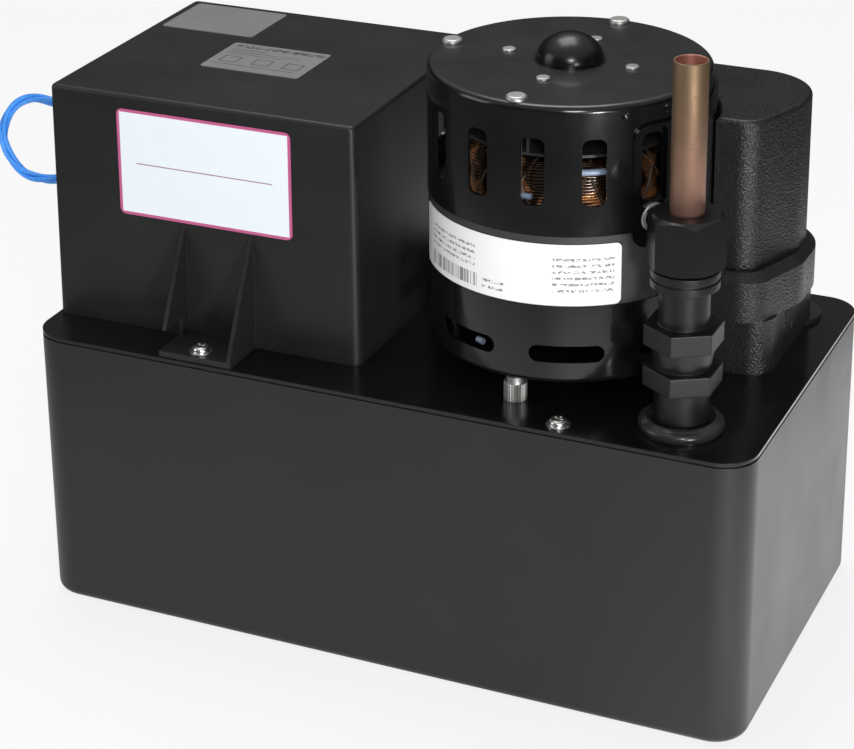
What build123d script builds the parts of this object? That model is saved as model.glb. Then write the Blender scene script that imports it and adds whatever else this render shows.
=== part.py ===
from build123d import *
import os
from math import atan, cos, degrees, hypot, radians, sin, sqrt, tan

# A tank pump for condensate: a covered tank with a vertical motor on its lid, a
# centrifugal pump hanging inside, a float switch under the left cover and a
# discharge column with a check valve and a copper stub on the right.
# Millimetres. The origin is the middle of the tank's underside, +Z up, -Y front.

os.makedirs("parts", exist_ok=True)


# Tank and lid
TANK_LENGTH = 350.0
TANK_WIDTH = 184.0
TANK_HEIGHT = 136.0
TANK_CORNER = 16.0
TANK_WALL = 3.0
TANK_FLOOR = 3.5
TANK_BASE_EDGE = 4.5
GASKET_THICKNESS = 1.0
GASKET_WIDTH = 4.0
GASKET_INSET = 1.2
LID_THICKNESS = 1.5
LID_SCREW_X = 87.5
LID_SCREW_INSET = 7.5
SCREW_BOSS_RADIUS = 5.0
SCREW_SHANK_RADIUS = 2.0
SCREW_HEAD_RADIUS = 4.2
SCREW_HEAD_HEIGHT = 2.4
SCREW_LENGTH = 14.0
SCREW_CLEARANCE = 0.1

gasket_top = TANK_HEIGHT + GASKET_THICKNESS
lid_top = gasket_top + LID_THICKNESS
screw_y = TANK_WIDTH / 2 - LID_SCREW_INSET

# Control box cover
BOX_LEFT = -174.6
BOX_RIGHT = -16.0
BOX_FRONT = -66.2
BOX_BACK = 77.2
BOX_HEIGHT = 115.0
BOX_DRAFT = 0.8
BOX_WALL = 2.5
BOX_CORNER = 4.6
BOX_TOP_EDGE = 2.2
FOOT_WIDTH = 37.0
FOOT_THICKNESS = 3.0
FOOT_EDGE_INSET = 0.8
GUSSET_THICKNESS = 2.2
GUSSET_HEIGHT = 55.5
GUSSET_LIP = 1.2
GUSSET_NOTCH_DEPTH = 19.0
GUSSET_NOTCH_HEIGHT = 8.5

box_length = BOX_RIGHT - BOX_LEFT
box_depth = BOX_BACK - BOX_FRONT
box_mid_x = (BOX_LEFT + BOX_RIGHT) / 2
box_mid_y = (BOX_FRONT + BOX_BACK) / 2
box_top = lid_top + BOX_HEIGHT
draft_slope = tan(radians(BOX_DRAFT))

# Labels
LABEL_THICKNESS = 0.3
FRONT_LABEL_X = -93.1
FRONT_LABEL_RISE = 82.5
FRONT_LABEL_LENGTH = 89.0
FRONT_LABEL_HEIGHT = 51.5
FRONT_LABEL_CORNER = 3.0
TOP_LABELS = [(-142.5, 50.5, 50.0, 39.0), (-95.3, 3.0, 51.5, 37.0)]
TOP_LABEL_CORNER = 2.0

# Wire loop on the left face of the cover
WIRE_DIAMETER = 4.5
GROMMET_BORE_CLEARANCE = 0.15
GROMMET_BODY = 3.9
GROMMET_FLANGE = 6.0
GROMMET_LIP = 0.9
GROMMET_FIT = 0.05
WIRE_Y_TOP = -36.0
WIRE_RISE_TOP = 94.0
WIRE_Y_LOW = -35.0
WIRE_RISE_LOW = 56.5

# Cable gland in the rear face of the cover
GLAND_X = -120.0
GLAND_RISE = 33.5
GLAND_THREAD = 8.0
GLAND_BORE = 4.0
GLAND_FLATS = 19.0
GLAND_HEX_HEIGHT = 4.0
GLAND_DOME_RADIUS = 8.6
GLAND_DOME_HEIGHT = 8.0
GLAND_TAIL = 9.0
LOCKNUT_HEIGHT = 4.5

# Motor
MOTOR_X = 63.0
MOTOR_Y = -10.0
MOTOR_RADIUS = 63.5
SPACER_HEIGHT = 12.0
SPACER_RADIUS = 5.25
SPACER_NECK_RADIUS = 4.2
SPACER_NECK_HEIGHT = 3.5
LOWER_SHELL_HEIGHT = 37.0
STATOR_HEIGHT = 32.5
UPPER_SHELL_HEIGHT = 58.9
SHELL_WALL = 1.5
SHELL_EDGE = 3.0
STATOR_RECESS = 0.4
STATOR_BORE = 33.5
STATOR_SLOTS = 24
STATOR_SLOT_WIDTH = 3.6
STATOR_SLOT_INNER = 35.5
STATOR_SLOT_OUTER = 50.0
STATOR_MOUTH = 1.4
WINDING_INNER = 36.5
WINDING_OUTER = 54.0
WINDING_TOP_HEIGHT = 29.0
WINDING_LOW_HEIGHT = 15.5
WINDING_EDGE = 5.0
WINDING_SLOT_CLEARANCE = 0.15
BOLT_CIRCLE = 57.5
BOLT_ANGLE = -92.3
BOLT_RADIUS = 2.4
BOLT_HEAD_RADIUS = 4.8
BOLT_HEAD_HEIGHT = 1.9
BOLT_HEAD_ROUND = 1.5
BOLT_CLEARANCE = 0.1
BOLT_NUT_FLATS = 8.0
BOLT_NUT_HEIGHT = 4.0
BOLT_TAIL = 2.0
RIVET_CIRCLE = 29.5
RIVET_RADIUS = 1.6
RIVET_HEAD_RADIUS = 3.2
RIVET_HEAD_HEIGHT = 1.0
RIVET_HEAD_ROUND = 0.8
DIMPLE_RADIUS = 2.4
DIMPLE_DEPTH = 0.9
DIMPLE_DROP = 5.2
DIMPLE_SPREAD = 9.3
UPPER_SLOTS = 15
UPPER_SLOT_ANGLE = -83.5
UPPER_SLOT_WIDTH = 10.6
UPPER_SLOT_HEIGHT = 30.5
UPPER_SLOT_RISE = 29.0
UPPER_SLOT_CORNER = 3.6
LOWER_SLOTS = 8
LOWER_SLOT_ANGLE = -69.5
LOWER_SLOT_WIDTH = 33.0
LOWER_SLOT_HEIGHT = 8.0
LOWER_SLOT_RISE = 14.3
MOTOR_LABEL_START = -148.0
MOTOR_LABEL_END = -48.0
MOTOR_LABEL_HEIGHT = 28.5
MOTOR_LABEL_RISE = 0.5
LABEL_GAP = 0.15

motor_bottom = lid_top + SPACER_HEIGHT
band_bottom = motor_bottom + LOWER_SHELL_HEIGHT
band_top = band_bottom + STATOR_HEIGHT
motor_top = band_top + UPPER_SHELL_HEIGHT

# Shaft, bearings and rotor
SHAFT_RADIUS = 5.0
SHAFT_CLEARANCE = 0.05
SHAFT_TOP_GAP = 3.5
BEARING_RADIUS = 11.0
BEARING_HEIGHT = 14.0
BEARING_SEAT_CLEARANCE = 0.05
BEARING_CUP_WALL = 1.5
RETAINER_RADIUS = 34.0
RETAINER_THICKNESS = 1.5
CAP_BASE_RADIUS = 15.7
CAP_DOME_RADIUS = 14.9
CAP_SIDE_ROUND = 9.2
CAP_HEIGHT = 12.4
CAP_BORE = 7.0
CAP_SPIGOT = 12.8
CAP_ROOF = 3.4
CAP_EDGE = 0.8
AIR_GAP = 0.5
END_RING_HEIGHT = 3.0
END_RING_INNER = 18.0
FAN_RADIUS = 50.0
FAN_HUB = 9.0
FAN_DISC = 1.2
FAN_HEIGHT = 9.5
FAN_BLADES = 8
FAN_BLADE_INNER = 20.0
FAN_BLADE_THICKNESS = 1.2
FAN_GAP = 2.0
SLINGER_RADIUS = 12.0
SLINGER_THICKNESS = 3.0
SLINGER_LIFT = 5.0

# Pump
PUMP_FLOOR_GAP = 4.5
SUCTION_THICKNESS = 4.0
VOLUTE_RADIUS = 34.0
VOLUTE_CAVITY = 27.0
CAVITY_HEIGHT = 13.0
VOLUTE_CEILING = 6.0
SHAFT_PORT = 0.4
IMPELLER_RADIUS = 24.0
IMPELLER_HUB = 8.0
IMPELLER_DISC = 2.2
IMPELLER_GAP = 2.0
VANE_COUNT = 6
VANE_HEIGHT = 6.5
VANE_THICKNESS = 2.0
STRAINER_SLOTS = 12
STRAINER_CIRCLE = 12.0
STRAINER_SLOT_LENGTH = 9.0
STRAINER_SLOT_WIDTH = 2.6
NOZZLE_OFFSET = 20.0
NOZZLE_RISE = 9.0
NOZZLE_RADIUS = 9.0
NOZZLE_BORE = 6.0
SOCKET_RADIUS = 10.5
SOCKET_DEPTH = 12.0
NOZZLE_REACH = 45.0
COLUMN_RADIUS = 16.0
COLUMN_WALL = 3.0
COLUMN_FLANGE = 25.0
COLUMN_FLANGE_LOW = 3.0
COLUMN_FLANGE_TOP = 5.0
COLUMN_WINDOWS = 3
WINDOW_WIDTH = 10.0
WINDOW_HEIGHT = 40.0
PUMP_SCREW_CIRCLE = 20.5
PUMP_SCREW_COUNT = 3
FLANGE_SCREW_ANGLE = 90.0
COVER_SCREW_ANGLE = 120.0
COVER_SCREW_CIRCLE = 30.5
PUMP_SCREW_RADIUS = 1.75
PUMP_SCREW_HEAD = 3.5
PUMP_SCREW_HEAD_HEIGHT = 2.2
PUMP_SCREW_LENGTH = 8.0

# Discharge column
DISCHARGE_X = 136.4
DISCHARGE_INSET = 27.7
discharge_y = DISCHARGE_INSET - TANK_WIDTH / 2
PIPE_RADIUS = 8.0
PIPE_WALL = 1.5
PIPE_FIT = 0.05
PIPE_BEND = 16.0
RING_RADIUS = 18.9
RING_HEIGHT = 5.5
RING_FIT = 0.05
RING_GROOVE = 14.8
RING_TAIL = 3.5
LID_DISCHARGE_HOLE = 15.0
STUB_RADIUS = 12.25
STUB_LENGTH_ABOVE = 20.5
STUB_LENGTH_BELOW = 12.5
HEX_FLATS = 30.5
LOWER_HEX_HEIGHT = 9.0
TAPER_HEIGHT = 10.0
TAPER_TOP_RADIUS = 14.0
UPPER_HEX_HEIGHT = 9.5
NECK_RADIUS = 11.1
NECK_HEIGHT = 17.5
COLLAR_RADIUS = 15.0
COLLAR_HEIGHT = 8.0
COLLAR_GROOVE = 0.8
THREAD_RADIUS = 13.0
THREAD_HEIGHT = 16.0
FLOW_BORE = 6.0
CHAMBER_RADIUS = 10.05
SPIGOT_RADIUS = 10.0
SPIGOT_BORE = 8.8
SPIGOT_DEPTH = 7.5
SPRING_SEAT_RISE = 14.0
POPPET_RADIUS = 7.8
POPPET_DISC = 2.2
POPPET_STEM = 2.6
POPPET_STEM_HEIGHT = 6.0
POPPET_TAIL = 4.2
POPPET_TAIL_DEPTH = 7.0
POPPET_LIFT = 0.3
SPRING_RADIUS = 5.3
SPRING_WIRE = 0.5
SPRING_TURNS = 5
SPRING_END_GAP = 0.3
TUBE_RADIUS = 7.5
TUBE_WALL = 1.0
TUBE_SOCKET = 0.05
TUBE_INSERT = 22.0
TUBE_NECK = 0.2
TUBE_NECK_ABOVE = 1.0
TUBE_LENGTH = 98.0
NUT_FLATS = 30.3
NUT_HEIGHT = 24.0
NUT_GAP = 1.0
NUT_ROOF = 2.5
NUT_CHAMFER = 2.2
OLIVE_RADIUS = 9.3
OLIVE_HEIGHT = 5.5
OLIVE_GAP = 0.3

# Inlet
INLET_X = 30.0
INLET_INSET = 22.0
inlet_y = TANK_WIDTH / 2 - INLET_INSET
INLET_BORE = 11.0
INLET_HOLE = 13.6
INLET_FLANGE = 16.5
INLET_FLANGE_HEIGHT = 2.2
INLET_TAIL = 4.0

# Float switch
ROD_X = -103.0
ROD_Y = 5.0
ROD_RADIUS = 3.0
ROD_FIT = 0.08
FLOAT_RADIUS = 30.0
FLOAT_HEIGHT = 34.0
FLOAT_BORE = 0.05
FLOAT_REST = 30.0
FLOAT_TRAVEL = 24.0
FLOAT_EDGE = 5.0
ROD_COLLAR = 6.0
ROD_COLLAR_HEIGHT = 3.0
GUIDE_RADIUS = 6.0
GUIDE_FLANGE = 9.5
GUIDE_FLANGE_HEIGHT = 2.0
GUIDE_ABOVE = 7.0
GUIDE_BELOW = 9.0
LEVER_ARM = 55.0
LEVER_PIVOT_RISE = 45.5
lever_pivot_z = lid_top + LEVER_PIVOT_RISE
LEVER_WIDTH = 8.0
LEVER_THICKNESS = 2.0
LEVER_OVERHANG = 6.0
LEVER_BEYOND = 5.0
LEVER_SLOT_HALF = 1.8
LEVER_SLOT_LENGTH = 9.0
LEVER_GAP = 0.3
LEVER_TAB_WIDTH = 17.0
LEVER_TAB_THICKNESS = 1.5
ROD_PIN_RADIUS = 1.5
ROD_HEAD = 4.0
PIVOT_RADIUS = 2.0
PIVOT_CLEARANCE = 0.06
PIVOT_HEAD = 2.9
PIVOT_HEAD_HEIGHT = 1.5
BRACKET_THICKNESS = 1.5
BRACKET_GAP = 2.4
BRACKET_LEFT = 7.0
BRACKET_RIGHT = 24.5
BRACKET_TOP = 7.0
BRACKET_FOOT = 18.0
BRACKET_SCREW_SPREAD = 21.0
SWITCH_OFFSET = 3.5
SWITCH_LENGTH = 28.0
SWITCH_HEIGHT = 15.0
SWITCH_WIDTH = 9.6
SWITCH_LEAD = 8.0
SWITCH_SPACE = 0.2
SWITCH_CLEAR = 2.3
SWITCH_TERMINAL = 7.0
PLUNGER_RADIUS = 1.2
PLUNGER_FIT = 0.05
PLUNGER_GAP = 0.5
PLUNGER_DEPTH = 5.0
PLUNGER_STROKE = 1.53
TERMINAL_X = -140.0
TERMINAL_Y = -34.0
TERMINAL_LENGTH = 40.0
TERMINAL_WIDTH = 20.0
TERMINAL_HEIGHT = 14.0
TERMINAL_WAYS = 4
SMALL_SCREW_RADIUS = 1.5
SMALL_SCREW_HEAD = 2.8
SMALL_SCREW_HEAD_HEIGHT = 1.8

# Capacitor housing and its saddle
CAPS_BACK = 68.4
CAPS_FRONT = -3.2
CAPS_RIGHT = 159.0
CAPS_LEFT = 100.0
CAPS_CORNER = 12.0
CAPS_SHOULDER = 20.0
CAPS_REAR_CORNER = 29.0
CAPS_LEAN = 12.0
CAPS_LEAN_DEPTH = 33.0
CAPS_HEIGHT = 119.5
CAPS_WALL = 2.0
CAPS_TOP_EDGE = 2.0
COLLAR_MARGIN_FRONT = 7.0
COLLAR_MARGIN_SIDE = 4.5
COLLAR_RISE_TOP = 49.5
COLLAR_RISE_BOTTOM = 26.5
COLLAR_SLOPE = 4.0
BASE_MARGIN_FRONT = 3.2
BASE_INSET_RIGHT = 1.5
BASE_CORNER = 11.0
BASE_WALL = 2.5
BASE_LUG_RADIUS = 14.5
BASE_LUG_X = 147.0
BASE_LUG_Y = 65.0
BASE_LUG_HEIGHT = 2.5
KNOCKOUT_RADIUS = 7.5
KNOCKOUT_GROOVE = 0.9
KNOCKOUT_Y = 24.5
KNOCKOUT_RISE = 14.5
MOTOR_GAP = 2.6
CAPACITOR_X = 134.5
CAPACITOR_Y = 36.5
CAPACITOR_RADIUS = 16.5
CAPACITOR_HEIGHT = 95.0
CAPACITOR_TERMINAL = 6.0
BLADE_SPREAD = 6.0
BLADE_WIDTH = 6.3
BLADE_THICKNESS = 0.8
SADDLE_GAP = 0.3
SADDLE_THICKNESS = 1.5
SADDLE_START = -44.5
SADDLE_END = 60.0
SADDLE_DROP = 7.0
SADDLE_RISE = 48.5
SADDLE_CORNER = 7.0
SADDLE_WINDOW_WIDTH = 13.5
SADDLE_WINDOW_HEIGHT = 36.0
SADDLE_SCREW_RADIUS = 2.0
SADDLE_SCREW_HEAD = 3.8
SADDLE_SCREW_HEAD_HEIGHT = 1.0
SADDLE_SCREW_ANGLE = -14.5
caps_top = lid_top + CAPS_HEIGHT
collar_top = lid_top + COLLAR_RISE_TOP
collar_bottom = lid_top + COLLAR_RISE_BOTTOM
saddle_bottom = band_top - SADDLE_DROP
saddle_top = band_top + SADDLE_RISE


def save(part, name):
    """Label a finished piece and write its file."""
    part.part.label = name
    export_step(part.part, f"parts/{name}.step")


def hex_radius(flats):
    """Corner radius of a hexagon from its width across flats."""
    return flats / sqrt(3)


def cylinder(radius, low, high, x=0.0, y=0.0, mode=Mode.ADD):
    """A round bar or hole between two heights, inside the open part."""
    with Locations((x, y, low)):
        Cylinder(radius, high - low, align=(Align.CENTER, Align.CENTER, Align.MIN), mode=mode)


def motor_ring(radius, count, start):
    """Points on a circle about the motor's axis."""
    return [
        (MOTOR_X + radius * cos(radians(start + k * 360 / count)),
         MOTOR_Y + radius * sin(radians(start + k * 360 / count)))
        for k in range(count)
    ]


def motor_face(angle, height):
    """A plane on the motor's axis that looks outwards at an angle."""
    a = radians(angle)
    return Plane(origin=(MOTOR_X, MOTOR_Y, height), x_dir=(-sin(a), cos(a), 0), z_dir=(cos(a), sin(a), 0))


def box_front_plane(x, z):
    """A plane on the drafted front face of the cover."""
    d = radians(BOX_DRAFT)
    return Plane(origin=(x, BOX_FRONT + (z - lid_top) * draft_slope, z), x_dir=(1, 0, 0), z_dir=(0, -cos(d), sin(d)))


def box_left_plane(y, z):
    """A plane on the drafted left face of the cover."""
    d = radians(BOX_DRAFT)
    return Plane(origin=(BOX_LEFT + (z - lid_top) * draft_slope, y, z), x_dir=(0, -1, 0), z_dir=(-cos(d), 0, sin(d)))


def box_back_plane(x, z):
    """A plane on the drafted rear face of the cover."""
    d = radians(BOX_DRAFT)
    return Plane(origin=(x, BOX_BACK - (z - lid_top) * draft_slope, z), x_dir=(-1, 0, 0), z_dir=(0, cos(d), sin(d)))


# Places shared by several pieces
screw_places = [(sx * LID_SCREW_X, sy * screw_y) for sx in (-1, 1) for sy in (-1, 1)]
bolt_places = motor_ring(BOLT_CIRCLE, 4, BOLT_ANGLE)
rivet_places = motor_ring(RIVET_CIRCLE, 4, BOLT_ANGLE)
flange_screw_places = motor_ring(PUMP_SCREW_CIRCLE, PUMP_SCREW_COUNT, FLANGE_SCREW_ANGLE)
cover_screw_places = motor_ring(COVER_SCREW_CIRCLE, PUMP_SCREW_COUNT, COVER_SCREW_ANGLE)
pivot_x = ROD_X + LEVER_ARM
bracket_front = ROD_Y - ROD_RADIUS - LEVER_GAP - LEVER_THICKNESS - BRACKET_GAP - BRACKET_THICKNESS
bracket_back = bracket_front + BRACKET_THICKNESS
lever_front = bracket_back + BRACKET_GAP
lever_back = lever_front + LEVER_THICKNESS
bracket_mid_x = pivot_x + (BRACKET_RIGHT - BRACKET_LEFT) / 2
bracket_screws = [
    (bracket_mid_x + s * BRACKET_SCREW_SPREAD / 2, bracket_front - BRACKET_FOOT / 2) for s in (-1, 1)
]
terminal_screws = [
    (TERMINAL_X + (k - (TERMINAL_WAYS - 1) / 2) * TERMINAL_LENGTH / TERMINAL_WAYS, TERMINAL_Y + s * TERMINAL_WIDTH / 4)
    for k in range(TERMINAL_WAYS) for s in (-1, 1)
]


# Tank: an open box with rounded corners and four screw posts
with BuildPart() as tank:
    with BuildSketch():
        RectangleRounded(TANK_LENGTH, TANK_WIDTH, TANK_CORNER)
    extrude(amount=TANK_HEIGHT)
    fillet(tank.faces().sort_by(Axis.Z)[0].edges(), TANK_BASE_EDGE)
    with BuildSketch(Plane.XY.offset(TANK_FLOOR)):
        RectangleRounded(TANK_LENGTH - 2 * TANK_WALL, TANK_WIDTH - 2 * TANK_WALL, TANK_CORNER - TANK_WALL)
    extrude(amount=TANK_HEIGHT - TANK_FLOOR, mode=Mode.SUBTRACT)
    with BuildSketch(Plane.XY.offset(TANK_FLOOR)):
        with Locations(*screw_places):
            Circle(SCREW_BOSS_RADIUS)
    extrude(amount=TANK_HEIGHT - TANK_FLOOR)
    with BuildSketch(Plane.XY.offset(TANK_HEIGHT)):
        with Locations(*screw_places):
            Circle(SCREW_SHANK_RADIUS + SCREW_CLEARANCE)
    extrude(amount=-(SCREW_LENGTH + BOLT_TAIL), mode=Mode.SUBTRACT)
save(tank, "tank")

# Gasket: a foam strip along the rim
with BuildPart() as lid_gasket:
    with BuildSketch(Plane.XY.offset(TANK_HEIGHT)):
        RectangleRounded(TANK_LENGTH - 2 * GASKET_INSET, TANK_WIDTH - 2 * GASKET_INSET, TANK_CORNER - GASKET_INSET)
        inset = GASKET_INSET + GASKET_WIDTH
        RectangleRounded(
            TANK_LENGTH - 2 * inset, TANK_WIDTH - 2 * inset, TANK_CORNER - inset, mode=Mode.SUBTRACT
        )
    extrude(amount=GASKET_THICKNESS)
save(lid_gasket, "lid_gasket")

# Lid: a steel plate with every hole that the parts on it need
with BuildPart() as lid:
    with BuildSketch(Plane.XY.offset(gasket_top)):
        RectangleRounded(TANK_LENGTH, TANK_WIDTH, TANK_CORNER)
        with Locations(*screw_places):
            Circle(SCREW_SHANK_RADIUS + SCREW_CLEARANCE, mode=Mode.SUBTRACT)
        with Locations(*bolt_places):
            Circle(BOLT_RADIUS + BOLT_CLEARANCE, mode=Mode.SUBTRACT)
        with Locations(*flange_screw_places):
            Circle(PUMP_SCREW_RADIUS + SCREW_CLEARANCE, mode=Mode.SUBTRACT)
        with Locations(*bracket_screws):
            Circle(SMALL_SCREW_RADIUS + SCREW_CLEARANCE, mode=Mode.SUBTRACT)
        with Locations((MOTOR_X, MOTOR_Y)):
            Circle(COLUMN_RADIUS - COLUMN_WALL - 2, mode=Mode.SUBTRACT)
        with Locations((DISCHARGE_X, discharge_y)):
            Circle(LID_DISCHARGE_HOLE, mode=Mode.SUBTRACT)
        with Locations((INLET_X, inlet_y)):
            Circle(INLET_HOLE, mode=Mode.SUBTRACT)
        with Locations((ROD_X, ROD_Y)):
            Circle(GUIDE_RADIUS, mode=Mode.SUBTRACT)
    extrude(amount=LID_THICKNESS)
save(lid, "lid")

# Lid screws: two on the lid itself, two through the feet of the cover
with BuildPart() as lid_screws:
    for x, y in screw_places:
        seat = lid_top + (FOOT_THICKNESS if x < 0 else 0)
        cylinder(SCREW_SHANK_RADIUS, seat - SCREW_LENGTH, seat, x, y)
        with BuildSketch(Plane.XY.offset(seat)):
            with Locations((x, y)):
                Circle(SCREW_HEAD_RADIUS)
        extrude(amount=SCREW_HEAD_HEIGHT, taper=28)
save(lid_screws, "lid_screws")

# Control box cover: a drafted shell with a foot and two gussets front and back. The front foot's
# left gusset has a notch where a wire can leave.
with BuildPart() as control_box_cover:
    with BuildSketch(Plane.XY.offset(lid_top)):
        with Locations((box_mid_x, box_mid_y)):
            RectangleRounded(box_length, box_depth, BOX_CORNER)
    extrude(amount=BOX_HEIGHT, taper=BOX_DRAFT)
    fillet(control_box_cover.faces().sort_by(Axis.Z)[-1].edges(), BOX_TOP_EDGE)
    for side, wall_y, edge_y in ((-1, BOX_FRONT, -TANK_WIDTH / 2), (1, BOX_BACK, TANK_WIDTH / 2)):
        foot_end = edge_y - side * FOOT_EDGE_INSET
        wall_in = wall_y - side * BOX_WALL
        with BuildSketch(Plane.XY.offset(lid_top)):
            with Locations((-LID_SCREW_X, (foot_end + wall_in) / 2)):
                Rectangle(FOOT_WIDTH, abs(foot_end - wall_in))
        extrude(amount=FOOT_THICKNESS)
        for hand in (-1, 1):
            gusset_x = -LID_SCREW_X + hand * (FOOT_WIDTH - GUSSET_THICKNESS) / 2
            with BuildSketch(Plane(origin=(gusset_x, 0, 0), x_dir=(0, 1, 0), z_dir=(1, 0, 0))):
                Polygon(
                    (wall_in, lid_top), (foot_end, lid_top), (foot_end, lid_top + FOOT_THICKNESS + GUSSET_LIP),
                    (wall_y - side * GUSSET_HEIGHT * draft_slope, lid_top + GUSSET_HEIGHT),
                    (wall_in, lid_top + GUSSET_HEIGHT), align=None,
                )
            extrude(amount=GUSSET_THICKNESS / 2, both=True)
    notch_front = -TANK_WIDTH / 2 + FOOT_EDGE_INSET
    with BuildSketch(Plane.XY.offset(lid_top + FOOT_THICKNESS)):
        with Locations((-LID_SCREW_X - (FOOT_WIDTH - GUSSET_THICKNESS) / 2, notch_front + GUSSET_NOTCH_DEPTH / 2)):
            Rectangle(GUSSET_THICKNESS, GUSSET_NOTCH_DEPTH)
    extrude(amount=GUSSET_NOTCH_HEIGHT, mode=Mode.SUBTRACT)
    with BuildSketch(Plane.XY.offset(lid_top)):
        with Locations((box_mid_x, box_mid_y)):
            RectangleRounded(box_length - 2 * BOX_WALL, box_depth - 2 * BOX_WALL, BOX_CORNER - BOX_WALL)
    extrude(amount=BOX_HEIGHT - BOX_WALL, taper=BOX_DRAFT, mode=Mode.SUBTRACT)
    for x, y in screw_places[:2]:
        cylinder(SCREW_SHANK_RADIUS + SCREW_CLEARANCE, lid_top, lid_top + FOOT_THICKNESS, x, y, Mode.SUBTRACT)
    for plane in (box_left_plane(WIRE_Y_TOP, lid_top + WIRE_RISE_TOP), box_left_plane(WIRE_Y_LOW, lid_top + WIRE_RISE_LOW)):
        with BuildSketch(plane):
            Circle(GROMMET_BODY + GROMMET_FIT)
        extrude(amount=-2 * BOX_WALL, mode=Mode.SUBTRACT)
    with BuildSketch(box_back_plane(GLAND_X, lid_top + GLAND_RISE)):
        Circle(GLAND_THREAD + SCREW_CLEARANCE)
    extrude(amount=-2 * BOX_WALL, mode=Mode.SUBTRACT)
save(control_box_cover, "control_box_cover")

# Labels: plain plates on the cover
with BuildPart() as front_label:
    with BuildSketch(box_front_plane(FRONT_LABEL_X, lid_top + FRONT_LABEL_RISE)):
        RectangleRounded(FRONT_LABEL_LENGTH, FRONT_LABEL_HEIGHT, FRONT_LABEL_CORNER)
    extrude(amount=LABEL_THICKNESS)
save(front_label, "front_label")

with BuildPart() as rating_labels:
    for x, y, length, width in TOP_LABELS:
        with BuildSketch(Plane.XY.offset(box_top)):
            with Locations((x, y)):
                RectangleRounded(length, width, TOP_LABEL_CORNER)
        extrude(amount=LABEL_THICKNESS)
save(rating_labels, "rating_labels")

# Wire grommets: a body in the wall with a lip on each side
with BuildPart() as wire_grommets:
    for plane in (box_left_plane(WIRE_Y_TOP, lid_top + WIRE_RISE_TOP), box_left_plane(WIRE_Y_LOW, lid_top + WIRE_RISE_LOW)):
        for depth, radius in ((GROMMET_LIP, GROMMET_FLANGE), (-BOX_WALL, GROMMET_BODY)):
            with BuildSketch(plane):
                Circle(radius)
            extrude(amount=depth)
        with BuildSketch(plane.offset(-BOX_WALL)):
            Circle(GROMMET_FLANGE)
        extrude(amount=-GROMMET_LIP)
        with BuildSketch(plane.offset(GROMMET_LIP)):
            Circle(WIRE_DIAMETER / 2 + GROMMET_BORE_CLEARANCE)
        extrude(amount=-(BOX_WALL + 2 * GROMMET_LIP), mode=Mode.SUBTRACT)
save(wire_grommets, "wire_grommets")

# Alarm wire loop: out of one grommet and back into the other
wire_points = [
    (-171.5, -36.0, 232.5), (-186.0, -36.1, 232.8), (-200.0, -36.8, 234.4), (-211.4, -37.8, 229.2),
    (-218.2, -38.2, 217.5), (-217.8, -37.8, 204.6), (-211.0, -36.8, 195.0), (-199.6, -35.8, 191.2),
    (-186.0, -35.2, 194.7), (-171.5, -35.0, 195.0),
]


def bend_radii(points):
    """Largest even bend at each inner point of a route."""
    radii = []
    for before, here, after in zip(points, points[1:], points[2:]):
        run_in = Vector(*here) - Vector(*before)
        run_out = Vector(*after) - Vector(*here)
        half_turn = radians(run_in.get_angle(run_out)) / 2
        radii.append(0.45 * min(run_in.length, run_out.length) / tan(half_turn))
    return radii


wire_radii = bend_radii(wire_points)
with BuildPart() as alarm_wire_loop:
    with BuildLine() as wire_path:
        FilletPolyline(*wire_points, radius=wire_radii)
    with BuildSketch(Plane(origin=wire_path.line @ 0, z_dir=wire_path.line % 0)):
        Circle(WIRE_DIAMETER / 2)
    sweep()
save(alarm_wire_loop, "alarm_wire_loop")

# Cable gland: hexagon and domed clamp outside, threaded tail inside
with BuildPart() as cable_gland:
    gland_plane = box_back_plane(GLAND_X, lid_top + GLAND_RISE)
    with BuildSketch(gland_plane):
        RegularPolygon(hex_radius(GLAND_FLATS), 6)
    extrude(amount=GLAND_HEX_HEIGHT)
    with BuildSketch(gland_plane.offset(GLAND_HEX_HEIGHT)):
        Circle(GLAND_DOME_RADIUS)
    extrude(amount=GLAND_DOME_HEIGHT, taper=14)
    with BuildSketch(gland_plane):
        Circle(GLAND_THREAD)
    extrude(amount=-(BOX_WALL + GLAND_TAIL))
    with BuildSketch(gland_plane.offset(GLAND_HEX_HEIGHT + GLAND_DOME_HEIGHT)):
        Circle(GLAND_BORE)
    extrude(amount=-(BOX_WALL + GLAND_TAIL + GLAND_HEX_HEIGHT + GLAND_DOME_HEIGHT), mode=Mode.SUBTRACT)
save(cable_gland, "cable_gland")

with BuildPart() as gland_locknut:
    with BuildSketch(box_back_plane(GLAND_X, lid_top + GLAND_RISE).offset(-BOX_WALL)):
        RegularPolygon(hex_radius(GLAND_FLATS), 6)
        Circle(GLAND_THREAD + SCREW_CLEARANCE, mode=Mode.SUBTRACT)
    extrude(amount=-LOCKNUT_HEIGHT)
save(gland_locknut, "gland_locknut")

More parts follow.
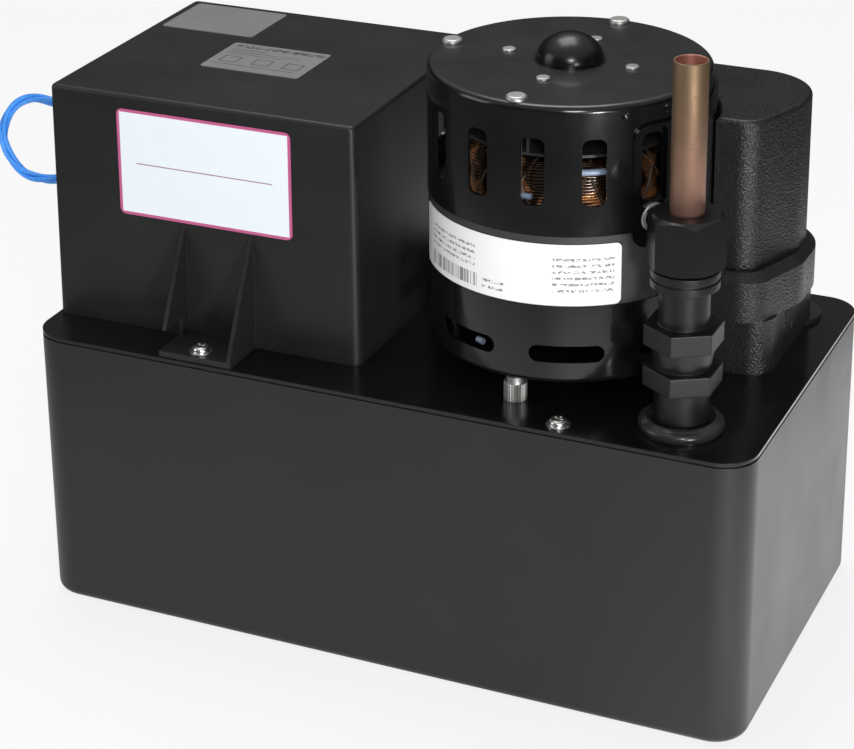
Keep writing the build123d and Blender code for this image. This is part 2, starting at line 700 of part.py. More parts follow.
# Motor upper shell: a drawn cup with cooling slots, bolt and rivet holes
with BuildPart() as motor_upper_shell:
    cylinder(MOTOR_RADIUS, band_top, motor_top, MOTOR_X, MOTOR_Y)
    fillet(motor_upper_shell.faces().sort_by(Axis.Z)[-1].edges(), SHELL_EDGE)
    cylinder(MOTOR_RADIUS - SHELL_WALL, band_top, motor_top - SHELL_WALL, MOTOR_X, MOTOR_Y, Mode.SUBTRACT)
    cylinder(CAP_SPIGOT + BEARING_SEAT_CLEARANCE, motor_top - SHELL_WALL, motor_top, MOTOR_X, MOTOR_Y, Mode.SUBTRACT)
    for x, y in bolt_places:
        cylinder(BOLT_RADIUS + BOLT_CLEARANCE, motor_top - SHELL_WALL, motor_top, x, y, Mode.SUBTRACT)
    for x, y in rivet_places:
        cylinder(RIVET_RADIUS, motor_top - SHELL_WALL, motor_top, x, y, Mode.SUBTRACT)
    for k in range(UPPER_SLOTS):
        angle = UPPER_SLOT_ANGLE + k * 360 / UPPER_SLOTS
        with BuildSketch(motor_face(angle, band_top + UPPER_SLOT_RISE)):
            RectangleRounded(UPPER_SLOT_WIDTH, UPPER_SLOT_HEIGHT, UPPER_SLOT_CORNER)
        extrude(amount=MOTOR_RADIUS + 1, mode=Mode.SUBTRACT)
    for k in range(2):
        for side in (-1, 1):
            angle = radians(BOLT_ANGLE + 54 + k * 180 + side * DIMPLE_SPREAD)
            reach = MOTOR_RADIUS + DIMPLE_RADIUS - DIMPLE_DEPTH
            with Locations((MOTOR_X + reach * cos(angle), MOTOR_Y + reach * sin(angle), motor_top - DIMPLE_DROP)):
                Sphere(DIMPLE_RADIUS, mode=Mode.SUBTRACT)
save(motor_upper_shell, "motor_upper_shell")

# Motor lower shell: the same drawing upside down, with the lower bearing's seat
bearing_low = motor_bottom + SHELL_WALL
with BuildPart() as motor_lower_shell:
    cylinder(MOTOR_RADIUS, motor_bottom, band_bottom, MOTOR_X, MOTOR_Y)
    fillet(motor_lower_shell.faces().sort_by(Axis.Z)[0].edges(), SHELL_EDGE)
    cylinder(MOTOR_RADIUS - SHELL_WALL, motor_bottom + SHELL_WALL, band_bottom, MOTOR_X, MOTOR_Y, Mode.SUBTRACT)
    seat_bore = BEARING_RADIUS + BEARING_SEAT_CLEARANCE
    cylinder(seat_bore + BEARING_CUP_WALL, bearing_low, bearing_low + BEARING_HEIGHT, MOTOR_X, MOTOR_Y)
    cylinder(seat_bore, bearing_low, bearing_low + BEARING_HEIGHT, MOTOR_X, MOTOR_Y, Mode.SUBTRACT)
    cylinder(BEARING_RADIUS - 3, motor_bottom, bearing_low, MOTOR_X, MOTOR_Y, Mode.SUBTRACT)
    for x, y in bolt_places:
        cylinder(BOLT_RADIUS + BOLT_CLEARANCE, motor_bottom, bearing_low, x, y, Mode.SUBTRACT)
    for k in range(LOWER_SLOTS):
        angle = LOWER_SLOT_ANGLE + k * 360 / LOWER_SLOTS
        with BuildSketch(motor_face(angle, motor_bottom + LOWER_SLOT_RISE)):
            RectangleRounded(LOWER_SLOT_WIDTH, LOWER_SLOT_HEIGHT, 0.49 * LOWER_SLOT_HEIGHT)
        extrude(amount=MOTOR_RADIUS + 1, mode=Mode.SUBTRACT)
save(motor_lower_shell, "motor_lower_shell")

# Stator core: the lamination stack between the shells
with BuildPart() as stator_core:
    with BuildSketch(Plane.XY.offset(band_bottom)):
        with Locations((MOTOR_X, MOTOR_Y)):
            Circle(MOTOR_RADIUS - STATOR_RECESS)
            Circle(STATOR_BORE, mode=Mode.SUBTRACT)
            slot_length = STATOR_SLOT_OUTER - STATOR_SLOT_INNER
            with PolarLocations((STATOR_SLOT_OUTER + STATOR_SLOT_INNER) / 2, STATOR_SLOTS):
                Rectangle(slot_length, STATOR_SLOT_WIDTH, mode=Mode.SUBTRACT)
            with PolarLocations((STATOR_BORE + STATOR_SLOT_INNER) / 2, STATOR_SLOTS):
                Rectangle(STATOR_SLOT_INNER - STATOR_BORE + 1, STATOR_MOUTH, mode=Mode.SUBTRACT)
        with Locations(*bolt_places):
            Circle(BOLT_RADIUS + BOLT_CLEARANCE, mode=Mode.SUBTRACT)
    extrude(amount=STATOR_HEIGHT)
save(stator_core, "stator_core")

# Stator winding: two end rings joined by bars through the slots
with BuildPart() as stator_winding:
    for low, high, outer_face in (
        (band_top, band_top + WINDING_TOP_HEIGHT, -1), (band_bottom - WINDING_LOW_HEIGHT, band_bottom, 0),
    ):
        with BuildSketch(Plane.XY.offset(low)):
            with Locations((MOTOR_X, MOTOR_Y)):
                Circle(WINDING_OUTER)
                Circle(WINDING_INNER, mode=Mode.SUBTRACT)
        extrude(amount=high - low)
        fillet(stator_winding.faces().filter_by(Axis.Z).sort_by(Axis.Z)[outer_face].edges(), WINDING_EDGE)
    with BuildSketch(Plane.XY.offset(band_bottom)):
        with Locations((MOTOR_X, MOTOR_Y)):
            bar_inner = WINDING_INNER + WINDING_SLOT_CLEARANCE
            bar = STATOR_SLOT_OUTER - WINDING_SLOT_CLEARANCE - bar_inner
            with PolarLocations(bar_inner + bar / 2, STATOR_SLOTS):
                Rectangle(bar, STATOR_SLOT_WIDTH - 2 * WINDING_SLOT_CLEARANCE)
    extrude(amount=STATOR_HEIGHT)
save(stator_winding, "stator_winding")

# Bearing retainer: a riveted plate with a cup for the upper bearing
retainer_bottom = motor_top - SHELL_WALL - RETAINER_THICKNESS
bearing_high = motor_top - SHELL_WALL - BEARING_HEIGHT
with BuildPart() as bearing_retainer:
    cylinder(RETAINER_RADIUS, retainer_bottom, motor_top - SHELL_WALL, MOTOR_X, MOTOR_Y)
    cup_radius = BEARING_RADIUS + BEARING_SEAT_CLEARANCE
    cup_floor = bearing_high - BEARING_CUP_WALL
    cylinder(cup_radius + BEARING_CUP_WALL, cup_floor, retainer_bottom, MOTOR_X, MOTOR_Y)
    cylinder(cup_radius, bearing_high, motor_top - SHELL_WALL, MOTOR_X, MOTOR_Y, Mode.SUBTRACT)
    cylinder(BEARING_RADIUS - 3, cup_floor, bearing_high, MOTOR_X, MOTOR_Y, Mode.SUBTRACT)
    for x, y in rivet_places:
        cylinder(RIVET_RADIUS, retainer_bottom, motor_top - SHELL_WALL, x, y, Mode.SUBTRACT)
save(bearing_retainer, "bearing_retainer")

with BuildPart() as motor_bearings:
    for low in (bearing_low, bearing_high):
        with BuildSketch(Plane.XY.offset(low)):
            with Locations((MOTOR_X, MOTOR_Y)):
                Circle(BEARING_RADIUS)
                Circle(SHAFT_RADIUS + SHAFT_CLEARANCE, mode=Mode.SUBTRACT)
        extrude(amount=BEARING_HEIGHT)
save(motor_bearings, "motor_bearings")

# Bearing cap: the dome in the middle of the motor's top, an arc for its side and one for its crown
cap_rise = CAP_HEIGHT - CAP_EDGE
side_in = CAP_DOME_RADIUS - CAP_SIDE_ROUND
crown_drop = (side_in ** 2 - (cap_rise - CAP_SIDE_ROUND) ** 2) / (2 * (cap_rise - CAP_SIDE_ROUND))
crown_radius = cap_rise + crown_drop
crown_reach = crown_radius / hypot(side_in, crown_drop)
crown_start = (side_in * crown_reach, CAP_EDGE - crown_drop + crown_drop * crown_reach)
with BuildPart() as bearing_cap:
    with BuildSketch(Plane(origin=(MOTOR_X, MOTOR_Y, motor_top), x_dir=(1, 0, 0), z_dir=(0, -1, 0))):
        with BuildLine():
            Polyline(
                (0, CAP_HEIGHT), (0, 0), (CAP_BASE_RADIUS, 0), (CAP_BASE_RADIUS, CAP_EDGE),
                (CAP_DOME_RADIUS, CAP_EDGE),
            )
            RadiusArc((CAP_DOME_RADIUS, CAP_EDGE), crown_start, -CAP_SIDE_ROUND)
            RadiusArc(crown_start, (0, CAP_HEIGHT), -crown_radius)
        make_face()
    revolve(axis=Axis((MOTOR_X, MOTOR_Y, 0), (0, 0, 1)))
    cylinder(CAP_SPIGOT, motor_top - SHELL_WALL, motor_top, MOTOR_X, MOTOR_Y)
    cylinder(CAP_BORE, motor_top - SHELL_WALL, motor_top + CAP_HEIGHT - CAP_ROOF, MOTOR_X, MOTOR_Y, Mode.SUBTRACT)
save(bearing_cap, "bearing_cap")

with BuildPart() as retainer_rivets:
    for x, y in rivet_places:
        cylinder(RIVET_RADIUS, retainer_bottom, motor_top, x, y)
        cylinder(RIVET_HEAD_RADIUS, motor_top, motor_top + RIVET_HEAD_HEIGHT, x, y)
        cylinder(RIVET_HEAD_RADIUS, retainer_bottom - RIVET_HEAD_HEIGHT, retainer_bottom, x, y)
    head_faces = retainer_rivets.faces().filter_by(Axis.Z).group_by(Axis.Z)
    fillet((head_faces[0] + head_faces[-1]).edges(), RIVET_HEAD_ROUND)
save(retainer_rivets, "retainer_rivets")

# Motor bolts, spacers and nuts: they hold the shells, the stator and the lid together
with BuildPart() as motor_bolts:
    for x, y in bolt_places:
        cylinder(BOLT_RADIUS, gasket_top - BOLT_NUT_HEIGHT - BOLT_TAIL, motor_top, x, y)
        cylinder(BOLT_HEAD_RADIUS, motor_top, motor_top + BOLT_HEAD_HEIGHT, x, y)
    fillet(motor_bolts.faces().filter_by(Axis.Z).group_by(Axis.Z)[-1].edges(), BOLT_HEAD_ROUND)
save(motor_bolts, "motor_bolts")

with BuildPart() as motor_spacers:
    for x, y in bolt_places:
        cylinder(SPACER_RADIUS, lid_top, motor_bottom - SPACER_NECK_HEIGHT, x, y)
        cylinder(SPACER_NECK_RADIUS, motor_bottom - SPACER_NECK_HEIGHT, motor_bottom, x, y)
        cylinder(BOLT_RADIUS + BOLT_CLEARANCE, lid_top, motor_bottom, x, y, Mode.SUBTRACT)
save(motor_spacers, "motor_spacers")

with BuildPart() as bolt_nuts:
    with BuildSketch(Plane.XY.offset(gasket_top)):
        with Locations(*bolt_places):
            RegularPolygon(hex_radius(BOLT_NUT_FLATS), 6)
            Circle(BOLT_RADIUS + BOLT_CLEARANCE, mode=Mode.SUBTRACT)
    extrude(amount=-BOLT_NUT_HEIGHT)
save(bolt_nuts, "bolt_nuts")

# Motor label: a plain band on the stator
with BuildPart() as motor_label:
    label_span = MOTOR_LABEL_END - MOTOR_LABEL_START
    label_inner = MOTOR_RADIUS - STATOR_RECESS + LABEL_GAP
    with BuildSketch(Plane.XY.offset(band_bottom + MOTOR_LABEL_RISE)):
        with BuildLine():
            inner_arc = CenterArc((MOTOR_X, MOTOR_Y), label_inner, MOTOR_LABEL_START, label_span)
            outer_arc = CenterArc((MOTOR_X, MOTOR_Y), label_inner + LABEL_THICKNESS, MOTOR_LABEL_START, label_span)
            Line(inner_arc @ 0, outer_arc @ 0)
            Line(inner_arc @ 1, outer_arc @ 1)
        make_face()
    extrude(amount=MOTOR_LABEL_HEIGHT)
save(motor_label, "motor_label")

# Pump heights, from the tank floor up
suction_bottom = TANK_FLOOR + PUMP_FLOOR_GAP
cavity_bottom = suction_bottom + SUCTION_THICKNESS
cavity_top = cavity_bottom + CAVITY_HEIGHT
volute_top = cavity_top + VOLUTE_CEILING
nozzle_z = cavity_bottom + NOZZLE_RISE

# Shaft, rotor, fan and slinger turn together
cap_room = motor_top + CAP_HEIGHT - CAP_ROOF
shaft_bottom = cavity_bottom + IMPELLER_GAP + 1
with BuildPart() as shaft:
    cylinder(SHAFT_RADIUS, shaft_bottom, cap_room - SHAFT_TOP_GAP, MOTOR_X, MOTOR_Y)
save(shaft, "shaft")

with BuildPart() as rotor:
    cylinder(STATOR_BORE - AIR_GAP, band_bottom, band_top, MOTOR_X, MOTOR_Y)
    for low, high in ((band_bottom - END_RING_HEIGHT, band_bottom), (band_top, band_top + END_RING_HEIGHT)):
        with BuildSketch(Plane.XY.offset(low)):
            with Locations((MOTOR_X, MOTOR_Y)):
                Circle(STATOR_BORE - AIR_GAP - 1)
                Circle(END_RING_INNER, mode=Mode.SUBTRACT)
        extrude(amount=high - low)
    cylinder(SHAFT_RADIUS, band_bottom, band_top, MOTOR_X, MOTOR_Y, Mode.SUBTRACT)
save(rotor, "rotor")

fan_bottom = band_top + WINDING_TOP_HEIGHT + FAN_GAP
with BuildPart() as cooling_fan:
    cylinder(FAN_RADIUS, fan_bottom, fan_bottom + FAN_DISC, MOTOR_X, MOTOR_Y)
    cylinder(FAN_HUB, fan_bottom, fan_bottom + FAN_HEIGHT, MOTOR_X, MOTOR_Y)
    blade = FAN_RADIUS - FAN_BLADE_INNER
    with BuildSketch(Plane.XY.offset(fan_bottom + FAN_DISC)):
        with Locations((MOTOR_X, MOTOR_Y)):
            with PolarLocations(FAN_BLADE_INNER + blade / 2, FAN_BLADES):
                Rectangle(blade, FAN_BLADE_THICKNESS)
    extrude(amount=FAN_HEIGHT - FAN_DISC)
    cylinder(SHAFT_RADIUS, fan_bottom, fan_bottom + FAN_HEIGHT, MOTOR_X, MOTOR_Y, Mode.SUBTRACT)
save(cooling_fan, "cooling_fan")

with BuildPart() as slinger:
    with BuildSketch(Plane.XY.offset(lid_top + SLINGER_LIFT)):
        with Locations((MOTOR_X, MOTOR_Y)):
            Circle(SLINGER_RADIUS)
            Circle(SHAFT_RADIUS, mode=Mode.SUBTRACT)
    extrude(amount=SLINGER_THICKNESS)
save(slinger, "slinger")

# Impeller: a disc with vanes on its underside
impeller_top = cavity_top - IMPELLER_GAP
with BuildPart() as impeller:
    cylinder(IMPELLER_RADIUS, impeller_top - IMPELLER_DISC, impeller_top, MOTOR_X, MOTOR_Y)
    cylinder(IMPELLER_HUB, impeller_top - IMPELLER_DISC - VANE_HEIGHT, impeller_top, MOTOR_X, MOTOR_Y)
    with BuildSketch(Plane.XY.offset(impeller_top - IMPELLER_DISC)):
        with Locations((MOTOR_X, MOTOR_Y)):
            vane = IMPELLER_RADIUS - IMPELLER_HUB
            with PolarLocations(IMPELLER_HUB + vane / 2 - 0.3, VANE_COUNT):
                Rectangle(vane, VANE_THICKNESS)
    extrude(amount=-VANE_HEIGHT)
    cylinder(SHAFT_RADIUS, shaft_bottom, impeller_top, MOTOR_X, MOTOR_Y, Mode.SUBTRACT)
save(impeller, "impeller")

# The nozzle's line: offset from the shaft, and through the discharge axis
reach_x = DISCHARGE_X - MOTOR_X
reach_y = discharge_y - MOTOR_Y
reach = hypot(reach_x, reach_y)
swing = atan(NOZZLE_OFFSET / sqrt(reach ** 2 - NOZZLE_OFFSET ** 2))
run = sqrt(reach ** 2 - NOZZLE_OFFSET ** 2)
line_x = (reach_x * cos(swing) + reach_y * sin(swing)) / reach
line_y = (reach_y * cos(swing) - reach_x * sin(swing)) / reach
nozzle_x = DISCHARGE_X - line_x * run
nozzle_y = discharge_y - line_y * run
nozzle_plane = Plane(origin=(nozzle_x, nozzle_y, nozzle_z), x_dir=(-line_y, line_x, 0), z_dir=(line_x, line_y, 0))

# Volute housing: the pump chamber with its tangential nozzle
with BuildPart() as volute_housing:
    cylinder(VOLUTE_RADIUS, cavity_bottom, volute_top, MOTOR_X, MOTOR_Y)
    with BuildSketch(nozzle_plane):
        Circle(NOZZLE_RADIUS)
    extrude(amount=NOZZLE_REACH)
    with BuildSketch(nozzle_plane.offset(NOZZLE_REACH - SOCKET_DEPTH - 2)):
        Circle(SOCKET_RADIUS)
    extrude(amount=SOCKET_DEPTH + 2)
    cylinder(VOLUTE_CAVITY, cavity_bottom, cavity_top, MOTOR_X, MOTOR_Y, Mode.SUBTRACT)
    with BuildSketch(nozzle_plane):
        Circle(NOZZLE_BORE)
    extrude(amount=NOZZLE_REACH, mode=Mode.SUBTRACT)
    with BuildSketch(nozzle_plane.offset(NOZZLE_REACH - SOCKET_DEPTH)):
        Circle(PIPE_RADIUS + PIPE_FIT)
    extrude(amount=SOCKET_DEPTH, mode=Mode.SUBTRACT)
    cylinder(SHAFT_RADIUS + SHAFT_PORT, cavity_top, volute_top, MOTOR_X, MOTOR_Y, Mode.SUBTRACT)
    for x, y in flange_screw_places:
        cylinder(PUMP_SCREW_RADIUS, volute_top - VOLUTE_CEILING + 0.6, volute_top, x, y, Mode.SUBTRACT)
    for x, y in cover_screw_places:
        cylinder(PUMP_SCREW_RADIUS, cavity_bottom, cavity_bottom + PUMP_SCREW_LENGTH, x, y, Mode.SUBTRACT)
save(volute_housing, "volute_housing")

# Suction cover: the slotted plate under the impeller
with BuildPart() as suction_cover:
    with BuildSketch(Plane.XY.offset(suction_bottom)):
        with Locations((MOTOR_X, MOTOR_Y)):
            Circle(VOLUTE_RADIUS)
            with PolarLocations(STRAINER_CIRCLE, STRAINER_SLOTS):
                RectangleRounded(STRAINER_SLOT_LENGTH, STRAINER_SLOT_WIDTH, 0.49 * STRAINER_SLOT_WIDTH, mode=Mode.SUBTRACT)
        with Locations(*cover_screw_places):
            Circle(PUMP_SCREW_RADIUS + SCREW_CLEARANCE, mode=Mode.SUBTRACT)
    extrude(amount=SUCTION_THICKNESS)
save(suction_cover, "suction_cover")

# Pump column: the windowed tube that hangs the pump from the lid
column_bottom = volute_top
column_top = gasket_top
with BuildPart() as pump_column:
    cylinder(COLUMN_RADIUS, column_bottom, column_top, MOTOR_X, MOTOR_Y)
    cylinder(COLUMN_FLANGE, column_bottom, column_bottom + COLUMN_FLANGE_LOW, MOTOR_X, MOTOR_Y)
    cylinder(COLUMN_FLANGE, column_top - COLUMN_FLANGE_TOP, column_top, MOTOR_X, MOTOR_Y)
    cylinder(COLUMN_RADIUS - COLUMN_WALL, column_bottom, column_top, MOTOR_X, MOTOR_Y, Mode.SUBTRACT)
    for k in range(COLUMN_WINDOWS):
        angle = 30 + k * 360 / COLUMN_WINDOWS
        with BuildSketch(motor_face(angle, (column_bottom + column_top) / 2)):
            RectangleRounded(WINDOW_WIDTH, WINDOW_HEIGHT, 0.4 * WINDOW_WIDTH)
        extrude(amount=COLUMN_RADIUS + 1, mode=Mode.SUBTRACT)
    for x, y in flange_screw_places:
        for low, high in (
            (column_bottom, column_bottom + COLUMN_FLANGE_LOW), (column_top - COLUMN_FLANGE_TOP, column_top),
        ):
            cylinder(PUMP_SCREW_RADIUS, low, high, x, y, Mode.SUBTRACT)
save(pump_column, "pump_column")

# Pump screws: three at the lid, three at the volute's top, three under the suction cover
with BuildPart() as pump_screws:
    for seat, places, up in (
        (lid_top, flange_screw_places, 1),
        (column_bottom + COLUMN_FLANGE_LOW, flange_screw_places, 1),
        (suction_bottom, cover_screw_places, -1),
    ):
        for x, y in places:
            cylinder(PUMP_SCREW_RADIUS, min(seat, seat - up * PUMP_SCREW_LENGTH), max(seat, seat - up * PUMP_SCREW_LENGTH), x, y)
            with BuildSketch(Plane.XY.offset(seat)):
                with Locations((x, y)):
                    Circle(PUMP_SCREW_HEAD)
            extrude(amount=up * PUMP_SCREW_HEAD_HEIGHT, taper=20)
save(pump_screws, "pump_screws")

# Riser pipe: from the volute's socket, round one bend and up to the check valve
stub_bottom = lid_top - STUB_LENGTH_BELOW
pipe_start = nozzle_plane.offset(NOZZLE_REACH - SOCKET_DEPTH).origin
pipe_end_z = stub_bottom + SOCKET_DEPTH * 1.5
with BuildPart() as riser_pipe:
    with BuildLine() as pipe_path:
        FilletPolyline(
            (pipe_start.X, pipe_start.Y, nozzle_z), (DISCHARGE_X, discharge_y, nozzle_z),
            (DISCHARGE_X, discharge_y, pipe_end_z), radius=PIPE_BEND,
        )
    with BuildSketch(Plane(origin=pipe_path.line @ 0, z_dir=pipe_path.line % 0)):
        Circle(PIPE_RADIUS)
        Circle(PIPE_RADIUS - PIPE_WALL, mode=Mode.SUBTRACT)
    sweep()
save(riser_pipe, "riser_pipe")

# Discharge heights
lower_hex_z = lid_top + STUB_LENGTH_ABOVE
taper_z = lower_hex_z + LOWER_HEX_HEIGHT
upper_hex_z = taper_z + TAPER_HEIGHT
neck_z = upper_hex_z + UPPER_HEX_HEIGHT
collar_z = neck_z + NECK_HEIGHT
thread_z = collar_z + COLLAR_HEIGHT
thread_top = thread_z + THREAD_HEIGHT
neck_radius = TUBE_RADIUS - TUBE_NECK
neck_bore = neck_radius + TUBE_SOCKET
nut_z = thread_z + NUT_GAP
nut_top = nut_z + NUT_HEIGHT


# Discharge grommet: a rubber ring that grips the lid and the valve's stub
discharge_axis = Axis((DISCHARGE_X, discharge_y, 0), (0, 0, 1))
discharge_section = Plane(origin=(DISCHARGE_X, discharge_y, 0), x_dir=(1, 0, 0), z_dir=(0, -1, 0))
with BuildPart() as discharge_grommet:
    with BuildSketch(discharge_section):
        ring_bore = STUB_RADIUS + RING_FIT
        ring_mid = (ring_bore + RING_RADIUS) / 2 + 1
        with BuildLine():
            Polyline(
                (ring_bore, lid_top + 0.55 * RING_HEIGHT), (ring_bore, gasket_top - RING_TAIL),
                (RING_RADIUS - 1, gasket_top - RING_TAIL), (RING_RADIUS - 1, gasket_top), (RING_GROOVE, gasket_top),
                (RING_GROOVE, lid_top), (RING_RADIUS, lid_top), (RING_RADIUS, lid_top + 0.45 * RING_HEIGHT),
            )
            ThreePointArc(
                (RING_RADIUS, lid_top + 0.45 * RING_HEIGHT), (ring_mid + 1.3, lid_top + 0.9 * RING_HEIGHT),
                (ring_mid, lid_top + RING_HEIGHT),
            )
            Line((ring_mid, lid_top + RING_HEIGHT), (ring_bore, lid_top + 0.55 * RING_HEIGHT))
        make_face()
    revolve(axis=discharge_axis)
save(discharge_grommet, "discharge_grommet")

# Check valve body: stub, lower hexagon and tapered barrel, with the poppet's seat
with BuildPart() as check_valve_body:
    cylinder(STUB_RADIUS, stub_bottom, lower_hex_z, DISCHARGE_X, discharge_y)
    with BuildSketch(Plane.XY.offset(lower_hex_z)):
        with Locations((DISCHARGE_X, discharge_y)):
            RegularPolygon(hex_radius(HEX_FLATS), 6, rotation=90)
    extrude(amount=LOWER_HEX_HEIGHT)
    with BuildSketch(Plane.XY.offset(upper_hex_z)):
        with Locations((DISCHARGE_X, discharge_y)):
            Circle(TAPER_TOP_RADIUS)
    extrude(amount=-TAPER_HEIGHT, taper=degrees(atan((TAPER_TOP_RADIUS - STUB_RADIUS) / TAPER_HEIGHT)))
    cylinder(PIPE_RADIUS + PIPE_FIT, stub_bottom, pipe_end_z, DISCHARGE_X, discharge_y, Mode.SUBTRACT)
    cylinder(FLOW_BORE, pipe_end_z, taper_z, DISCHARGE_X, discharge_y, Mode.SUBTRACT)
    cylinder(CHAMBER_RADIUS, taper_z, upper_hex_z, DISCHARGE_X, discharge_y, Mode.SUBTRACT)
save(check_valve_body, "check_valve_body")

# Check valve cap: spigot, upper hexagon, neck, collar and the thread for the nut
spring_seat = upper_hex_z + SPRING_SEAT_RISE
with BuildPart() as check_valve_cap:
    cylinder(SPIGOT_RADIUS, upper_hex_z - SPIGOT_DEPTH, upper_hex_z, DISCHARGE_X, discharge_y)
    with BuildSketch(Plane.XY.offset(upper_hex_z)):
        with Locations((DISCHARGE_X, discharge_y)):
            RegularPolygon(hex_radius(HEX_FLATS), 6, rotation=90)
    extrude(amount=UPPER_HEX_HEIGHT)
    cylinder(NECK_RADIUS, neck_z, collar_z, DISCHARGE_X, discharge_y)
    cylinder(COLLAR_RADIUS, collar_z, collar_z + 0.45 * COLLAR_HEIGHT, DISCHARGE_X, discharge_y)
    cylinder(COLLAR_RADIUS - COLLAR_GROOVE, collar_z, thread_z, DISCHARGE_X, discharge_y)
    cylinder(COLLAR_RADIUS, collar_z + 0.58 * COLLAR_HEIGHT, thread_z, DISCHARGE_X, discharge_y)
    cylinder(THREAD_RADIUS, thread_z, thread_top, DISCHARGE_X, discharge_y)
    cylinder(SPIGOT_BORE, upper_hex_z - SPIGOT_DEPTH, spring_seat, DISCHARGE_X, discharge_y, Mode.SUBTRACT)
    cylinder(FLOW_BORE, spring_seat, thread_top, DISCHARGE_X, discharge_y, Mode.SUBTRACT)
    cylinder(neck_bore, thread_top - TUBE_INSERT, thread_top, DISCHARGE_X, discharge_y, Mode.SUBTRACT)
save(check_valve_cap, "check_valve_cap")

# Check valve poppet and its spring
poppet_z = taper_z + POPPET_LIFT
with BuildPart() as check_poppet:
    cylinder(POPPET_RADIUS, poppet_z, poppet_z + POPPET_DISC, DISCHARGE_X, discharge_y)
    cylinder(POPPET_STEM, poppet_z, poppet_z + POPPET_DISC + POPPET_STEM_HEIGHT, DISCHARGE_X, discharge_y)
    cylinder(POPPET_TAIL, poppet_z - POPPET_TAIL_DEPTH, poppet_z, DISCHARGE_X, discharge_y)
save(check_poppet, "check_poppet")

spring_low = poppet_z + POPPET_DISC + SPRING_WIRE + SPRING_END_GAP
spring_length = spring_seat - SPRING_END_GAP - SPRING_WIRE - spring_low
with BuildPart() as check_spring:
    with BuildLine(Plane(origin=(DISCHARGE_X, discharge_y, spring_low))) as spring_line:
        Helix(pitch=spring_length / SPRING_TURNS, height=spring_length, radius=SPRING_RADIUS)
    with BuildSketch(Plane(origin=spring_line.line @ 0, z_dir=spring_line.line % 0)):
        Circle(SPRING_WIRE)
    sweep(is_frenet=True)
save(check_spring, "check_spring")

# Copper tube, olive and compression nut: the tube is a shade thinner where the olive grips it
tube_bottom = thread_top - TUBE_INSERT
with BuildPart() as copper_tube:
    tube_top = tube_bottom + TUBE_LENGTH
    neck_top = nut_top + TUBE_NECK_ABOVE
    cylinder(neck_radius, tube_bottom, neck_top, DISCHARGE_X, discharge_y)
    cylinder(TUBE_RADIUS, neck_top, tube_top, DISCHARGE_X, discharge_y)
    cylinder(TUBE_RADIUS - TUBE_WALL, tube_bottom, tube_top, DISCHARGE_X, discharge_y, Mode.SUBTRACT)
save(copper_tube, "copper_tube")

olive_z = thread_top + OLIVE_GAP
with BuildPart() as compression_olive:
    with BuildSketch(discharge_section):
        Polygon(
            (neck_bore, olive_z), (neck_bore + 0.5, olive_z), (OLIVE_RADIUS, olive_z + 0.35 * OLIVE_HEIGHT),
            (OLIVE_RADIUS, olive_z + 0.65 * OLIVE_HEIGHT), (neck_bore + 0.5, olive_z + OLIVE_HEIGHT),
            (neck_bore, olive_z + OLIVE_HEIGHT), align=None,
        )
    revolve(axis=discharge_axis)
save(compression_olive, "compression_olive")

with BuildPart() as compression_nut:
    with BuildSketch(Plane.XY.offset(nut_z)):
        with Locations((DISCHARGE_X, discharge_y)):
            RegularPolygon(hex_radius(NUT_FLATS), 6, rotation=0)
    extrude(amount=NUT_HEIGHT)
    with BuildSketch(discharge_section):
        nut_corner = hex_radius(NUT_FLATS)
        nut_face = NUT_FLATS / 2
        Polygon(
            (0, nut_z), (nut_face, nut_z), (nut_corner, nut_z + NUT_CHAMFER * 0.6), (nut_corner, nut_top - NUT_CHAMFER),
            (nut_face - 1, nut_top), (0, nut_top), align=None,
        )
    revolve(axis=discharge_axis, mode=Mode.INTERSECT)
    cylinder(THREAD_RADIUS + SCREW_CLEARANCE, nut_z, thread_top, DISCHARGE_X, discharge_y, Mode.SUBTRACT)
    cylinder(OLIVE_RADIUS + 0.4, thread_top, nut_top - NUT_ROOF, DISCHARGE_X, discharge_y, Mode.SUBTRACT)
    cylinder(TUBE_RADIUS + SCREW_CLEARANCE, nut_top - NUT_ROOF, nut_top, DISCHARGE_X, discharge_y, Mode.SUBTRACT)
save(compression_nut, "compression_nut")

# Inlet grommet: an open rubber bush for the drain hose
with BuildPart() as inlet_grommet:
    cylinder(INLET_FLANGE, lid_top, lid_top + INLET_FLANGE_HEIGHT, INLET_X, inlet_y)
    cylinder(INLET_HOLE - RING_FIT, gasket_top, lid_top, INLET_X, inlet_y)
    cylinder(INLET_FLANGE - 1.5, gasket_top - INLET_TAIL, gasket_top, INLET_X, inlet_y)
    cylinder(INLET_BORE, gasket_top - INLET_TAIL, lid_top + INLET_FLANGE_HEIGHT, INLET_X, inlet_y, Mode.SUBTRACT)
save(inlet_grommet, "inlet_grommet")

# Float, rod and guide: the rod slides in a bush in the lid
float_top = FLOAT_REST + FLOAT_HEIGHT
with BuildPart() as float_body:
    cylinder(FLOAT_RADIUS, FLOAT_REST, float_top, ROD_X, ROD_Y)
    fillet(float_body.edges().filter_by(GeomType.CIRCLE), FLOAT_EDGE)
    cylinder(ROD_RADIUS + FLOAT_BORE, FLOAT_REST, float_top, ROD_X, ROD_Y, Mode.SUBTRACT)
save(float_body, "float")

